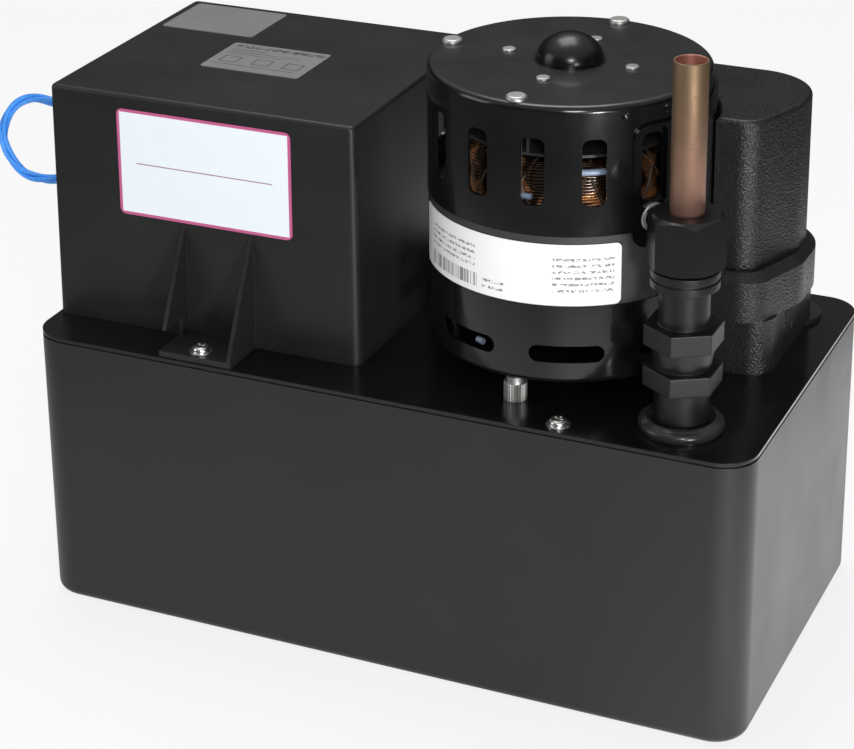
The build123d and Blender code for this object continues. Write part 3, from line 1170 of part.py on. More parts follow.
lever_tilt = degrees(atan(FLOAT_TRAVEL / 2 / LEVER_ARM))
rod_pin_z = lever_pivot_z - FLOAT_TRAVEL / 2
with BuildPart() as float_rod:
    cylinder(ROD_RADIUS, FLOAT_REST - ROD_COLLAR_HEIGHT, rod_pin_z + ROD_HEAD, ROD_X, ROD_Y)
    cylinder(ROD_COLLAR, FLOAT_REST - ROD_COLLAR_HEIGHT, FLOAT_REST, ROD_X, ROD_Y)
    cylinder(ROD_COLLAR, float_top, float_top + ROD_COLLAR_HEIGHT, ROD_X, ROD_Y)
    with BuildSketch(Plane(origin=(ROD_X, lever_front - LEVER_GAP, rod_pin_z), x_dir=(1, 0, 0), z_dir=(0, 1, 0))):
        Circle(ROD_PIN_RADIUS)
    extrude(amount=ROD_Y - lever_front + LEVER_GAP)
save(float_rod, "float_rod")

with BuildPart() as float_guide:
    cylinder(GUIDE_RADIUS - RING_FIT, lid_top - GUIDE_BELOW, lid_top + GUIDE_ABOVE, ROD_X, ROD_Y)
    cylinder(GUIDE_FLANGE, lid_top, lid_top + GUIDE_FLANGE_HEIGHT, ROD_X, ROD_Y)
    cylinder(ROD_RADIUS + ROD_FIT, lid_top - GUIDE_BELOW, lid_top + GUIDE_ABOVE, ROD_X, ROD_Y, Mode.SUBTRACT)
save(float_guide, "float_guide")

# Switch lever: a slotted plate on the bracket's pin, with a tab over both plungers
lever_x = cos(radians(lever_tilt))
lever_z = sin(radians(lever_tilt))
lever_plane = Plane(origin=(pivot_x, lever_front, lever_pivot_z), x_dir=(lever_x, 0, lever_z), z_dir=(0, -1, 0))
pin_reach = hypot(LEVER_ARM, FLOAT_TRAVEL / 2)
with BuildPart() as switch_lever:
    with BuildSketch(lever_plane):
        length = pin_reach + LEVER_BEYOND + LEVER_SLOT_LENGTH / 2 + LEVER_OVERHANG
        with Locations(((LEVER_OVERHANG * 2 - length) / 2, 0)):
            RectangleRounded(length, LEVER_WIDTH, 0.3 * LEVER_WIDTH)
        with Locations((-pin_reach + 0.6, 0)):
            SlotOverall(LEVER_SLOT_LENGTH, 2 * LEVER_SLOT_HALF, mode=Mode.SUBTRACT)
        Circle(PIVOT_RADIUS + PIVOT_CLEARANCE, mode=Mode.SUBTRACT)
    extrude(amount=-LEVER_THICKNESS)
    with BuildSketch(lever_plane):
        with Locations((SWITCH_OFFSET + 0.25, -LEVER_WIDTH / 2 + LEVER_TAB_THICKNESS / 2)):
            Rectangle(2 * (LEVER_OVERHANG - SWITCH_OFFSET) - 1.5, LEVER_TAB_THICKNESS)
    extrude(amount=-LEVER_TAB_WIDTH)
save(switch_lever, "switch_lever")

# Lever pin: riveted in the bracket, headed beyond the lever
pin_front = Plane(origin=(pivot_x, bracket_front, lever_pivot_z), x_dir=(1, 0, 0), z_dir=(0, 1, 0))
with BuildPart() as lever_pin:
    pin_length = BRACKET_THICKNESS + BRACKET_GAP + LEVER_THICKNESS + LEVER_GAP
    with BuildSketch(pin_front):
        Circle(PIVOT_RADIUS)
    extrude(amount=pin_length)
    with BuildSketch(pin_front.offset(pin_length)):
        Circle(PIVOT_HEAD)
    extrude(amount=PIVOT_HEAD_HEIGHT)
    with BuildSketch(pin_front.offset(BRACKET_THICKNESS)):
        Circle(PIVOT_HEAD)
    extrude(amount=BRACKET_GAP - LEVER_GAP)
save(lever_pin, "lever_pin")

# Switches stand side by side behind the bracket, under the lever's tab
lever_edge = lever_pivot_z + SWITCH_OFFSET * tan(radians(lever_tilt)) - LEVER_WIDTH / 2 / cos(radians(lever_tilt))
plunger_top = lever_edge - PLUNGER_GAP
switch_top = plunger_top - SWITCH_CLEAR
switch_bottom = switch_top - SWITCH_HEIGHT
plunger_x = pivot_x + SWITCH_OFFSET
switch_mid_x = plunger_x - SWITCH_LEAD + SWITCH_LENGTH / 2
switch_holes = [(switch_mid_x + s * SWITCH_LENGTH * 0.36, switch_bottom + SWITCH_HEIGHT * 0.25) for s in (-1, 1)]
switch_fronts = [bracket_back + SWITCH_SPACE + k * (SWITCH_WIDTH + SWITCH_SPACE) for k in range(2)]

# Bracket: a foot on the lid and an upright for the pin and the switches
with BuildPart() as switch_bracket:
    upright = Plane(origin=(0, bracket_front, 0), x_dir=(1, 0, 0), z_dir=(0, -1, 0))
    width = BRACKET_LEFT + BRACKET_RIGHT
    with BuildSketch(upright):
        height = lever_pivot_z + BRACKET_TOP - lid_top
        with Locations((bracket_mid_x, lid_top + height / 2)):
            Rectangle(width, height)
        with Locations((pivot_x, lever_pivot_z)):
            Circle(PIVOT_RADIUS, mode=Mode.SUBTRACT)
        with Locations(*switch_holes):
            Circle(SMALL_SCREW_RADIUS + SCREW_CLEARANCE, mode=Mode.SUBTRACT)
    extrude(amount=-BRACKET_THICKNESS)
    with BuildSketch(Plane.XY.offset(lid_top)):
        with Locations((bracket_mid_x, bracket_front - BRACKET_FOOT / 2)):
            Rectangle(width, BRACKET_FOOT)
        with Locations(*bracket_screws):
            Circle(SMALL_SCREW_RADIUS + SCREW_CLEARANCE, mode=Mode.SUBTRACT)
    extrude(amount=BRACKET_THICKNESS)
save(switch_bracket, "switch_bracket")

for name, front in zip(("pump_switch", "alarm_switch"), switch_fronts):
    with BuildPart() as switch_body:
        with BuildSketch(Plane(origin=(0, front, 0), x_dir=(1, 0, 0), z_dir=(0, -1, 0))):
            with Locations((switch_mid_x, switch_bottom + SWITCH_HEIGHT / 2)):
                Rectangle(SWITCH_LENGTH, SWITCH_HEIGHT)
            with Locations(*switch_holes):
                Circle(SMALL_SCREW_RADIUS + SCREW_CLEARANCE, mode=Mode.SUBTRACT)
        extrude(amount=-SWITCH_WIDTH)
        for k in range(3):
            with BuildSketch(Plane.XY.offset(switch_bottom)):
                with Locations((switch_mid_x + (k - 1) * SWITCH_LENGTH * 0.34, front + SWITCH_WIDTH / 2)):
                    Rectangle(0.8, 6.0)
            extrude(amount=-SWITCH_TERMINAL)
        port = PLUNGER_RADIUS + PLUNGER_FIT
        port_low = switch_top - PLUNGER_DEPTH
        cylinder(port, port_low, switch_top, plunger_x, front + SWITCH_WIDTH / 2, Mode.SUBTRACT)
    save(switch_body, name)
    with BuildPart() as plunger:
        plunger_low = switch_top - PLUNGER_DEPTH + PLUNGER_STROKE + 0.4
        cylinder(PLUNGER_RADIUS, plunger_low, plunger_top, plunger_x, front + SWITCH_WIDTH / 2)
        fillet(plunger.faces().sort_by(Axis.Z)[-1].edges(), 0.6 * PLUNGER_RADIUS)
    save(plunger, f"{name}_plunger")

# Box screws: two in the bracket's foot, two long ones through both switches
with BuildPart() as box_screws:
    for x, y in bracket_screws:
        seat = lid_top + BRACKET_THICKNESS
        cylinder(SMALL_SCREW_RADIUS, gasket_top - 3, seat, x, y)
        cylinder(SMALL_SCREW_HEAD, seat, seat + SMALL_SCREW_HEAD_HEIGHT, x, y)
    stack = switch_fronts[1] + SWITCH_WIDTH - bracket_front
    for x, z in switch_holes:
        head_plane = Plane(origin=(x, bracket_front, z), x_dir=(1, 0, 0), z_dir=(0, -1, 0))
        with BuildSketch(head_plane):
            Circle(SMALL_SCREW_HEAD)
        extrude(amount=SMALL_SCREW_HEAD_HEIGHT)
        with BuildSketch(head_plane):
            Circle(SMALL_SCREW_RADIUS)
        extrude(amount=-(stack + 3))
        with BuildSketch(head_plane.offset(-stack)):
            RegularPolygon(SMALL_SCREW_HEAD, 6)
        extrude(amount=-SMALL_SCREW_HEAD_HEIGHT)
save(box_screws, "box_screws")

# Terminal block and its clamp screws
with BuildPart() as terminal_block:
    with BuildSketch(Plane.XY.offset(lid_top)):
        with Locations((TERMINAL_X, TERMINAL_Y)):
            Rectangle(TERMINAL_LENGTH, TERMINAL_WIDTH)
    extrude(amount=TERMINAL_HEIGHT)
    for x, y in terminal_screws:
        cylinder(SMALL_SCREW_HEAD + 0.3, lid_top + TERMINAL_HEIGHT / 2, lid_top + TERMINAL_HEIGHT, x, y, Mode.SUBTRACT)
save(terminal_block, "terminal_block")

with BuildPart() as terminal_clamps:
    for x, y in terminal_screws:
        cylinder(SMALL_SCREW_HEAD, lid_top + TERMINAL_HEIGHT / 2, lid_top + TERMINAL_HEIGHT - 2.5, x, y)
save(terminal_clamps, "terminal_clamps")


def capacitor_plan(margin_front, margin_side):
    """The cover's outline with a margin round it: its right side leans in towards the front."""
    front = CAPS_FRONT - margin_front
    back = CAPS_BACK + margin_side
    right = CAPS_RIGHT + margin_side
    shoulder = front + CAPS_LEAN_DEPTH
    with BuildSketch() as plan:
        Polygon(
            (CAPS_LEFT, front), (right - CAPS_LEAN, front), (right, shoulder), (right, back), (CAPS_LEFT, back),
            align=None,
        )
        fillet(plan.vertices().sort_by_distance((right - CAPS_LEAN, front))[0], CAPS_CORNER + margin_side / 2)
        fillet(plan.vertices().sort_by_distance((right, shoulder))[0], CAPS_SHOULDER)
        fillet(plan.vertices().sort_by_distance((right, back))[0], CAPS_REAR_CORNER + margin_side)
    return plan.sketch


def clear_motor(gap, low, high):
    """Cut the room that the motor and its saddle need."""
    cylinder(MOTOR_RADIUS + gap, low, high, MOTOR_X, MOTOR_Y, Mode.SUBTRACT)


# Capacitor base: a tray on the lid with a wide collar
base_front = CAPS_FRONT - BASE_MARGIN_FRONT
base_back = CAPS_BACK + BASE_MARGIN_FRONT
base_right = CAPS_RIGHT - BASE_INSET_RIGHT
base_floor = lid_top + BASE_WALL
with BuildPart() as capacitor_base:
    with BuildSketch(Plane.XY.offset(lid_top)) as foot:
        with Locations(((CAPS_LEFT + base_right) / 2, (base_front + base_back) / 2)):
            Rectangle(base_right - CAPS_LEFT, base_back - base_front)
        fillet(foot.vertices().group_by(Axis.X)[-1], BASE_CORNER)
    extrude(amount=collar_bottom - lid_top)
    with BuildSketch(Plane.XY.offset(collar_bottom)):
        add(capacitor_plan(COLLAR_MARGIN_FRONT, COLLAR_MARGIN_SIDE))
    extrude(amount=collar_top - collar_bottom)
    chamfer(capacitor_base.faces().sort_by(Axis.Z)[-1].edges(), COLLAR_SLOPE)
    cylinder(BASE_LUG_RADIUS, lid_top, lid_top + BASE_LUG_HEIGHT, BASE_LUG_X, BASE_LUG_Y)
    clear_motor(MOTOR_GAP, lid_top, collar_top)
    with BuildSketch(Plane.XY.offset(base_floor)):
        add(capacitor_plan(-BASE_WALL - CAPS_WALL, -BASE_WALL - CAPS_WALL))
        with Locations((MOTOR_X, MOTOR_Y)):
            Circle(MOTOR_RADIUS + MOTOR_GAP + BASE_WALL, mode=Mode.SUBTRACT)
    extrude(amount=collar_top - base_floor, mode=Mode.SUBTRACT)
    with BuildSketch(Plane(origin=(base_right, KNOCKOUT_Y, lid_top + KNOCKOUT_RISE), x_dir=(0, 1, 0), z_dir=(1, 0, 0))):
        Circle(KNOCKOUT_RADIUS)
        Circle(KNOCKOUT_RADIUS - KNOCKOUT_GROOVE, mode=Mode.SUBTRACT)
    extrude(amount=-0.5, mode=Mode.SUBTRACT)
save(capacitor_base, "capacitor_base")

# Capacitor cover: a deep round-fronted cap on the base's collar
with BuildPart() as capacitor_cover:
    with BuildSketch(Plane.XY.offset(collar_top)):
        add(capacitor_plan(0, 0))
    extrude(amount=caps_top - collar_top)
    clear_motor(MOTOR_GAP, collar_top, caps_top)
    fillet(capacitor_cover.faces().sort_by(Axis.Z)[-1].edges(), CAPS_TOP_EDGE)
    with BuildSketch(Plane.XY.offset(collar_top)):
        add(capacitor_plan(-CAPS_WALL, -CAPS_WALL))
        with Locations((MOTOR_X, MOTOR_Y)):
            Circle(MOTOR_RADIUS + MOTOR_GAP + CAPS_WALL, mode=Mode.SUBTRACT)
    extrude(amount=caps_top - CAPS_WALL - collar_top, mode=Mode.SUBTRACT)
save(capacitor_cover, "capacitor_cover")

# Run capacitor: the can that stands in the base
with BuildPart() as run_capacitor:
    can_top = base_floor + CAPACITOR_HEIGHT
    cylinder(CAPACITOR_RADIUS, base_floor, can_top, CAPACITOR_X, CAPACITOR_Y)
    fillet(run_capacitor.edges().filter_by(GeomType.CIRCLE), 1.5)
    with BuildSketch(Plane.XY.offset(can_top)):
        with Locations((CAPACITOR_X - BLADE_SPREAD, CAPACITOR_Y), (CAPACITOR_X + BLADE_SPREAD, CAPACITOR_Y)):
            Rectangle(BLADE_THICKNESS, BLADE_WIDTH)
    extrude(amount=CAPACITOR_TERMINAL)
save(run_capacitor, "run_capacitor")

# Saddle bracket: a curved plate round the motor that carries the housing
saddle_inner = MOTOR_RADIUS + SADDLE_GAP
saddle_outer = saddle_inner + SADDLE_THICKNESS
saddle_span = SADDLE_END - SADDLE_START
saddle_height = saddle_top - saddle_bottom
window_angle = UPPER_SLOT_ANGLE + 2 * 360 / UPPER_SLOTS
with BuildPart() as saddle_bracket:
    with BuildSketch(Plane.XY.offset(saddle_bottom)):
        with BuildLine():
            saddle_in = CenterArc((MOTOR_X, MOTOR_Y), saddle_inner, SADDLE_START, saddle_span)
            saddle_out = CenterArc((MOTOR_X, MOTOR_Y), saddle_outer, SADDLE_START, saddle_span)
            Line(saddle_in @ 0, saddle_out @ 0)
            Line(saddle_in @ 1, saddle_out @ 1)
        make_face()
    extrude(amount=saddle_height)
    corner_edges = saddle_bracket.edges().filter_by(lambda e: e.length < SADDLE_THICKNESS + 0.2)
    fillet(corner_edges, SADDLE_CORNER)
    with BuildSketch(motor_face(window_angle, band_top + UPPER_SLOT_RISE)):
        RectangleRounded(SADDLE_WINDOW_WIDTH, SADDLE_WINDOW_HEIGHT, UPPER_SLOT_CORNER)
    extrude(amount=saddle_outer + 1, mode=Mode.SUBTRACT)
    for rise in (-0.3, 0.3):
        with BuildSketch(motor_face(SADDLE_SCREW_ANGLE, saddle_bottom + (0.5 + rise) * saddle_height)):
            Circle(SADDLE_SCREW_RADIUS + SCREW_CLEARANCE)
        extrude(amount=saddle_outer + 1, mode=Mode.SUBTRACT)
save(saddle_bracket, "saddle_bracket")

with BuildPart() as saddle_screws:
    for rise in (-0.3, 0.3):
        face = motor_face(SADDLE_SCREW_ANGLE, saddle_bottom + (0.5 + rise) * saddle_height)
        with BuildSketch(face.offset(MOTOR_RADIUS + 0.05)):
            Circle(SADDLE_SCREW_RADIUS)
        extrude(amount=saddle_outer - MOTOR_RADIUS)
        with BuildSketch(face.offset(saddle_outer + 0.05)):
            Circle(SADDLE_SCREW_HEAD)
        extrude(amount=SADDLE_SCREW_HEAD_HEIGHT)
save(saddle_screws, "saddle_screws")
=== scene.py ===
"""Dressed model of a tank pump for condensate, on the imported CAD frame."""

import logging
import math
from contextlib import contextmanager
from dataclasses import dataclass, field
from enum import Enum
from typing import Any, Callable, Iterator, Sequence

import bmesh
import bpy
from mathutils import Matrix, Vector

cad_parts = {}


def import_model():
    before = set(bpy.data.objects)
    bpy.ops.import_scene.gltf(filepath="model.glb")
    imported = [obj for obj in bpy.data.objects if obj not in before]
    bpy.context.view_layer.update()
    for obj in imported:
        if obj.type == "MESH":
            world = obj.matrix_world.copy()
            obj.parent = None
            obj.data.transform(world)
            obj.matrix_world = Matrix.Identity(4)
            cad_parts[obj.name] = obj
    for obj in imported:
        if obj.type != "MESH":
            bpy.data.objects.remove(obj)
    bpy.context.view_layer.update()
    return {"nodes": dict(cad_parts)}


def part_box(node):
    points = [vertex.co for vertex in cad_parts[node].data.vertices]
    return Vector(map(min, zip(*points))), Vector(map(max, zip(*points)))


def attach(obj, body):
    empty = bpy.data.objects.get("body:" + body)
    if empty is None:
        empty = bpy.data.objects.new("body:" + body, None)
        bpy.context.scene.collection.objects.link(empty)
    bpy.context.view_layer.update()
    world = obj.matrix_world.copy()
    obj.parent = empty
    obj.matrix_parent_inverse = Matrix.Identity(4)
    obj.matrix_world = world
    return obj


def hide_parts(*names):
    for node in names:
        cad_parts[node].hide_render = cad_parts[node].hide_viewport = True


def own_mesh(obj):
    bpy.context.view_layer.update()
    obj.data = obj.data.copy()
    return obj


LOG = logging.getLogger("scene")
MM = 0.001
Point = tuple[float, float, float]
Colour = tuple[float, float, float]
Piece = bpy.types.Object
Material = bpy.types.Material

# Where the main pieces stand, in millimetres
MOTOR_X = 63.0
MOTOR_Y = -10.0
MOTOR_RADIUS = 63.5
TUBE_X = 136.4
TUBE_Y = -64.3
LID_TOP = 138.5


# Shader expressions


class Wire:
    """An output of a node that can be used in sums."""

    def __init__(self, recipe: "Recipe", socket: Any) -> None:
        """Keep the recipe and the socket."""
        self.recipe = recipe
        self.socket = socket

    def __add__(self, other: Any) -> "Wire":
        """Sum."""
        return self.recipe.maths("ADD", self, other)

    __radd__ = __add__

    def __sub__(self, other: Any) -> "Wire":
        """Difference."""
        return self.recipe.maths("SUBTRACT", self, other)

    def __rsub__(self, other: Any) -> "Wire":
        """Difference from a number."""
        return self.recipe.maths("SUBTRACT", other, self)

    def __mul__(self, other: Any) -> "Wire":
        """Product."""
        return self.recipe.maths("MULTIPLY", self, other)

    __rmul__ = __mul__

    def __truediv__(self, other: Any) -> "Wire":
        """Quotient."""
        return self.recipe.maths("DIVIDE", self, other)

    def __pow__(self, other: Any) -> "Wire":
        """Power."""
        return self.recipe.maths("POWER", self, other)

    def __abs__(self) -> "Wire":
        """Size without sign."""
        return self.recipe.maths("ABSOLUTE", self)

    def __mod__(self, other: Any) -> "Wire":
        """Remainder, never negative."""
        return self.recipe.maths("FLOORED_MODULO", self, other)


class Recipe:
    """Builds one node material around a Principled shader."""

    def __init__(
        self, name: str, metallic: float = 0.0, ior: float = 1.45, coat: float = 0.0, coat_rough: float = 0.03,
    ) -> None:
        """Make the material.

        Args:
            name: the material's name.
            metallic: 0 for plastics and paint, 1 for bare metal.
            ior: index of refraction.
            coat: weight of a clear coat.
            coat_rough: roughness of the coat.
        """
        self.material = bpy.data.materials.new(name)
        self.material.use_nodes = True
        self.tree = self.material.node_tree
        self.tree.nodes.clear()
        self.shader = self.tree.nodes.new("ShaderNodeBsdfPrincipled")
        output = self.tree.nodes.new("ShaderNodeOutputMaterial")
        self.tree.links.new(self.shader.outputs["BSDF"], output.inputs["Surface"])
        self.shader.inputs["Metallic"].default_value = metallic
        self.shader.inputs["IOR"].default_value = ior
        self.shader.inputs["Coat Weight"].default_value = coat
        self.shader.inputs["Coat Roughness"].default_value = coat_rough
        self.last_bump: Wire | None = None

    @classmethod
    def on_tree(cls, tree: Any) -> "Recipe":
        """A recipe on a tree that has no Principled shader."""
        mix = cls.__new__(cls)
        mix.tree = tree
        mix.last_bump = None
        return mix

    def node(
        self, kind: str, out: int | str = 0, settings: dict[str, Any] | None = None, **values: Any,
    ) -> Wire:
        """Add a node.

        Args:
            kind: the node's type.
            out: the output that is wanted.
            settings: properties that are set before the sockets.
            values: socket name to value or Wire; a name with a leading underscore and a number is an index.

        Returns:
            The chosen output.
        """
        made = self.tree.nodes.new(kind)
        for key, value in (settings or {}).items():
            setattr(made, key, value)
        for key, value in values.items():
            socket = made.inputs[int(key[1:])] if key[0] == "_" else made.inputs[key]
            self.feed(socket, value)
        return Wire(self, made.outputs[out])

    def feed(self, socket: Any, value: Any) -> None:
        """Link a Wire to a socket, or set its value."""
        if isinstance(value, Wire):
            self.tree.links.new(value.socket, socket)
        elif isinstance(value, tuple) and len(value) == 3 and socket.type == "RGBA":
            socket.default_value = (*value, 1.0)
        else:
            socket.default_value = value

    def maths(self, operation: str, *values: Any) -> Wire:
        """A Math node on one to three values."""
        sockets = {f"_{k}": value for k, value in enumerate(values)}
        return self.node("ShaderNodeMath", settings={"operation": operation}, **sockets)

    def most(self, first: Any, second: Any) -> Wire:
        """The larger of two values."""
        return self.maths("MAXIMUM", first, second)

    def place(self) -> Wire:
        """The point in the piece's own space, in metres."""
        return self.node("ShaderNodeTexCoord", "Object")

    def axes(self, vector: Wire | None = None) -> tuple[Wire, Wire, Wire]:
        """The three numbers of a vector, in millimetres when none is given."""
        if vector is None:
            scaled = {"Vector": self.place(), "Scale": 1.0 / MM}
            vector = self.node("ShaderNodeVectorMath", settings={"operation": "SCALE"}, **scaled)
        split = self.tree.nodes.new("ShaderNodeSeparateXYZ")
        self.feed(split.inputs[0], vector)
        return Wire(self, split.outputs[0]), Wire(self, split.outputs[1]), Wire(self, split.outputs[2])

    def stretched(self, scale: Point) -> Wire:
        """The point with each axis scaled."""
        return self.node("ShaderNodeMapping", Vector=self.place(), Scale=scale)

    def noise(self, size: float, detail: float = 3.0, rough: float = 0.5, vector: Wire | None = None) -> Wire:
        """Noise whose features are about a size in millimetres across."""
        values = {"Vector": vector or self.place(), "Scale": 1000.0 / size, "Detail": detail, "Roughness": rough}
        return self.node("ShaderNodeTexNoise", 0, **values)

    def cells(self, size: float, feature: str = "F1") -> Wire:
        """Distance in a Voronoi pattern with cells of a size in millimetres."""
        settings = {"feature": feature}
        values = {"Vector": self.place(), "Scale": 1000.0 / size}
        return self.node("ShaderNodeTexVoronoi", "Distance", settings, **values)

    def step(self, value: Any, low: float, high: float, start: float = 0.0, end: float = 1.0) -> Wire:
        """A smooth step from start to end as value goes from low to high."""
        return self.node(
            "ShaderNodeMapRange", 0, {"interpolation_type": "SMOOTHSTEP"},
            Value=value, _1=low, _2=high, _3=start, _4=end,
        )

    def blend(self, factor: Any, first: Any, second: Any) -> Wire:
        """A mix of two colours."""
        return self.node(
            "ShaderNodeMix", 2, {"data_type": "RGBA"}, _0=factor, _6=first, _7=second,
        )

    def bump(self, height: Any, depth: float, strength: float = 1.0) -> None:
        """Add relief of a depth in millimetres under what is there already."""
        values: dict[str, Any] = {"Height": height, "Distance": depth * MM, "Strength": strength}
        if self.last_bump is not None:
            values["Normal"] = self.last_bump
        self.last_bump = self.node("ShaderNodeBump", **values)
        self.feed(self.shader.inputs["Normal"], self.last_bump)

    def paint(self, colour: Any, rough: Any) -> Material:
        """Set colour and roughness, and return the material."""
        self.feed(self.shader.inputs["Base Color"], colour)
        self.feed(self.shader.inputs["Roughness"], rough)
        return self.material


# Finishes


@dataclass(frozen=True)
class Moulded:
    """Moulded plastic with a fine grain, soft mottling and worn, paler rubs."""

    name: str
    colour: Colour
    pale: Colour
    rough: float = 0.45
    grain: float = 0.6
    relief: float = 0.02
    dust: float = 0.25

    def make(self) -> Material:
        """Return the material."""
        mix = Recipe(self.name)
        fine = mix.noise(self.grain, 4.0, 0.6)
        broad = mix.noise(45.0, 3.0, 0.55)
        rubs = mix.step(mix.noise(9.0, 6.0, 0.7), 0.56, 0.74)
        tone = mix.blend(broad * 0.5 + rubs * self.dust, self.colour, self.pale)
        mix.bump(fine, self.relief, 0.5)
        return mix.paint(tone, self.rough + (fine - 0.5) * 0.18 + (broad - 0.5) * 0.16)


@dataclass(frozen=True)
class Crinkle:
    """Moulded plastic with a coarse spark-eroded texture."""

    name: str
    colour: Colour
    pale: Colour
    rough: float = 0.42
    size: float = 1.3
    depth: float = 0.12

    def make(self) -> Material:
        """Return the material."""
        mix = Recipe(self.name)
        lumps = mix.cells(self.size, "SMOOTH_F1")
        fine = mix.noise(self.size * 0.5, 5.0, 0.65)
        broad = mix.noise(30.0, 2.0, 0.5)
        mix.bump(lumps + fine * 0.6, self.depth, 1.0)
        tone = mix.blend(mix.step(fine, 0.45, 0.75) * 0.6 + broad * 0.2, self.colour, self.pale)
        return mix.paint(tone, self.rough + (broad - 0.5) * 0.2)


@dataclass(frozen=True)
class Enamel:
    """Gloss paint on pressed steel, with orange peel, a few dull spots, and its top painted lighter above a set
    height.
    """

    name: str
    colour: Colour
    rough: float = 0.16
    peel: float = 0.02
    coat: float = 0.6
    dust: float = 0.2
    lit_top_height: float = 999.0

    def make(self) -> Material:
        """Return the material."""
        mix = Recipe(self.name, coat=self.coat, coat_rough=0.06)
        _, _, height = mix.axes()
        # Painted light: above the set top height the paint is blended paler and rougher, standing in for light
        # falling on the top.
        top = mix.step(height, self.lit_top_height - 0.4, self.lit_top_height)
        peel = mix.noise(2.2, 2.0, 0.5)
        dull = mix.noise(22.0, 4.0, 0.6)
        dust = mix.step(mix.noise(1.1, 5.0, 0.75), 0.62, 0.8)
        mix.bump(peel, self.peel, 0.6)
        tone = mix.blend(dust * self.dust + dull * 0.1 + top * 0.3, self.colour, (0.06, 0.06, 0.062))
        return mix.paint(tone, self.rough + (dull - 0.4) * 0.22 + dust * 0.2 + top * 0.12)


@dataclass(frozen=True)
class Laminated:
    """Varnished edges of stacked steel sheets."""

    name: str
    colour: Colour
    sheet: float = 0.65

    def make(self) -> Material:
        """Return the material."""
        mix = Recipe(self.name, metallic=0.35)
        _, _, height = mix.axes()
        line = mix.step(abs((height / self.sheet) % 1.0 - 0.5), 0.34, 0.5)
        streak = mix.noise(3.0, 4.0, 0.6, mix.stretched((1.0, 1.0, 12.0)))
        mix.bump(1.0 - line, 0.05, 0.6)
        tone = mix.blend(line * 0.5 + streak * 0.4, self.colour, (0.09, 0.088, 0.085))
        return mix.paint(tone, 0.38 + streak * 0.2)


@dataclass(frozen=True)
class Plated:
    """Bright metal: plated, cast or turned, with marks and stains."""

    name: str
    colour: Colour
    stain: Colour
    rough: float = 0.25
    grain: Point = (1.0, 1.0, 1.0)
    size: float = 1.5
    relief: float = 0.015

    def make(self) -> Material:
        """Return the material."""
        mix = Recipe(self.name, metallic=1.0)
        marks = mix.noise(self.size, 5.0, 0.65, mix.stretched(self.grain))
        clouds = mix.noise(14.0, 3.0, 0.5)
        mix.bump(marks, self.relief, 0.5)
        stained = mix.step(clouds, 0.45, 0.8) * 0.6 + mix.step(marks, 0.5, 0.8) * 0.4
        tone = mix.blend(stained, self.colour, self.stain)
        return mix.paint(tone, self.rough + (marks - 0.5) * 0.25 + (clouds - 0.5) * 0.1)


@dataclass(frozen=True)
class AgedCopper:
    """Drawn copper tube: pink where it is handled, brown and olive above."""

    name: str = "aged_copper"
    low: float = 236.0
    high: float = 303.0

    def make(self) -> Material:
        """Return the material."""
        mix = Recipe(self.name, metallic=0.75)
        x, y, height = mix.axes()
        reach = ((x - TUBE_X) ** 2 + (y - TUBE_Y) ** 2) ** 0.5
        bore = mix.step(reach, 6.6, 7.0, 1.0, 0.0)
        drawn = mix.noise(2.5, 5.0, 0.65, mix.stretched((1.0, 1.0, 0.12)))
        cloud = mix.noise(9.0, 4.0, 0.6)
        age = mix.step(height + (cloud - 0.5) * 40.0, self.low, self.high)
        clean = mix.blend(drawn, (0.33, 0.18, 0.135), (0.24, 0.14, 0.105))
        brown = mix.blend(cloud, (0.24, 0.155, 0.09), (0.17, 0.12, 0.07))
        spots = mix.step(mix.noise(2.0, 6.0, 0.75), 0.58, 0.72)
        outside = mix.blend(spots * 0.5, mix.blend(age, clean, brown), (0.12, 0.075, 0.05))
        tone = mix.blend(bore, outside, (0.50, 0.22, 0.17))
        mix.bump(drawn, 0.02, 0.5)
        return mix.paint(tone, 0.46 + cloud * 0.12 + spots * 0.2)


@dataclass(frozen=True)
class EnamelledWire:
    """Varnished copper windings, darkened in large patches that spread towards the top: dark varnish mixed with
    painted shade under the shell.
    """

    name: str = "winding_copper"

    def make(self) -> Material:
        """Return the material."""
        mix = Recipe(self.name, metallic=0.85, coat=0.8, coat_rough=0.08)
        cloud = mix.noise(6.0, 4.0, 0.6)
        _, _, height = mix.axes()
        # Painted shade: large near-black patches that grow with height stand in for the shade under the shell's
        # top, mixed with dark varnish and small dark specks.
        shade_and_varnish_patches = mix.step(mix.noise(16.0, 3.0, 0.6) + (height - 240.0) * 0.008, 0.38, 0.52)
        dark = mix.most(shade_and_varnish_patches, mix.step(mix.noise(2.0, 4.0, 0.7), 0.56, 0.7))
        bright = mix.blend(cloud, (0.95, 0.50, 0.22), (0.66, 0.27, 0.10))
        tone = mix.blend(dark * 0.95, bright, (0.008, 0.006, 0.005))
        mix.bump(cloud, 0.03, 0.4)
        return mix.paint(tone, 0.2 + cloud * 0.12)


@dataclass(frozen=True)
class Rubber:
    """Soft black rubber or foam."""

    name: str
    colour: Colour = (0.018, 0.018, 0.018)
    size: float = 0.9
    rough: float = 0.62

    def make(self) -> Material:
        """Return the material."""
        mix = Recipe(self.name)
        grit = mix.noise(self.size, 5.0, 0.7)
        bloom = mix.noise(12.0, 3.0, 0.5)
        mix.bump(grit, 0.03, 0.5)
        tone = mix.blend(bloom * 0.5, self.colour, (0.05, 0.05, 0.048))
        return mix.paint(tone, self.rough + (grit - 0.5) * 0.2)


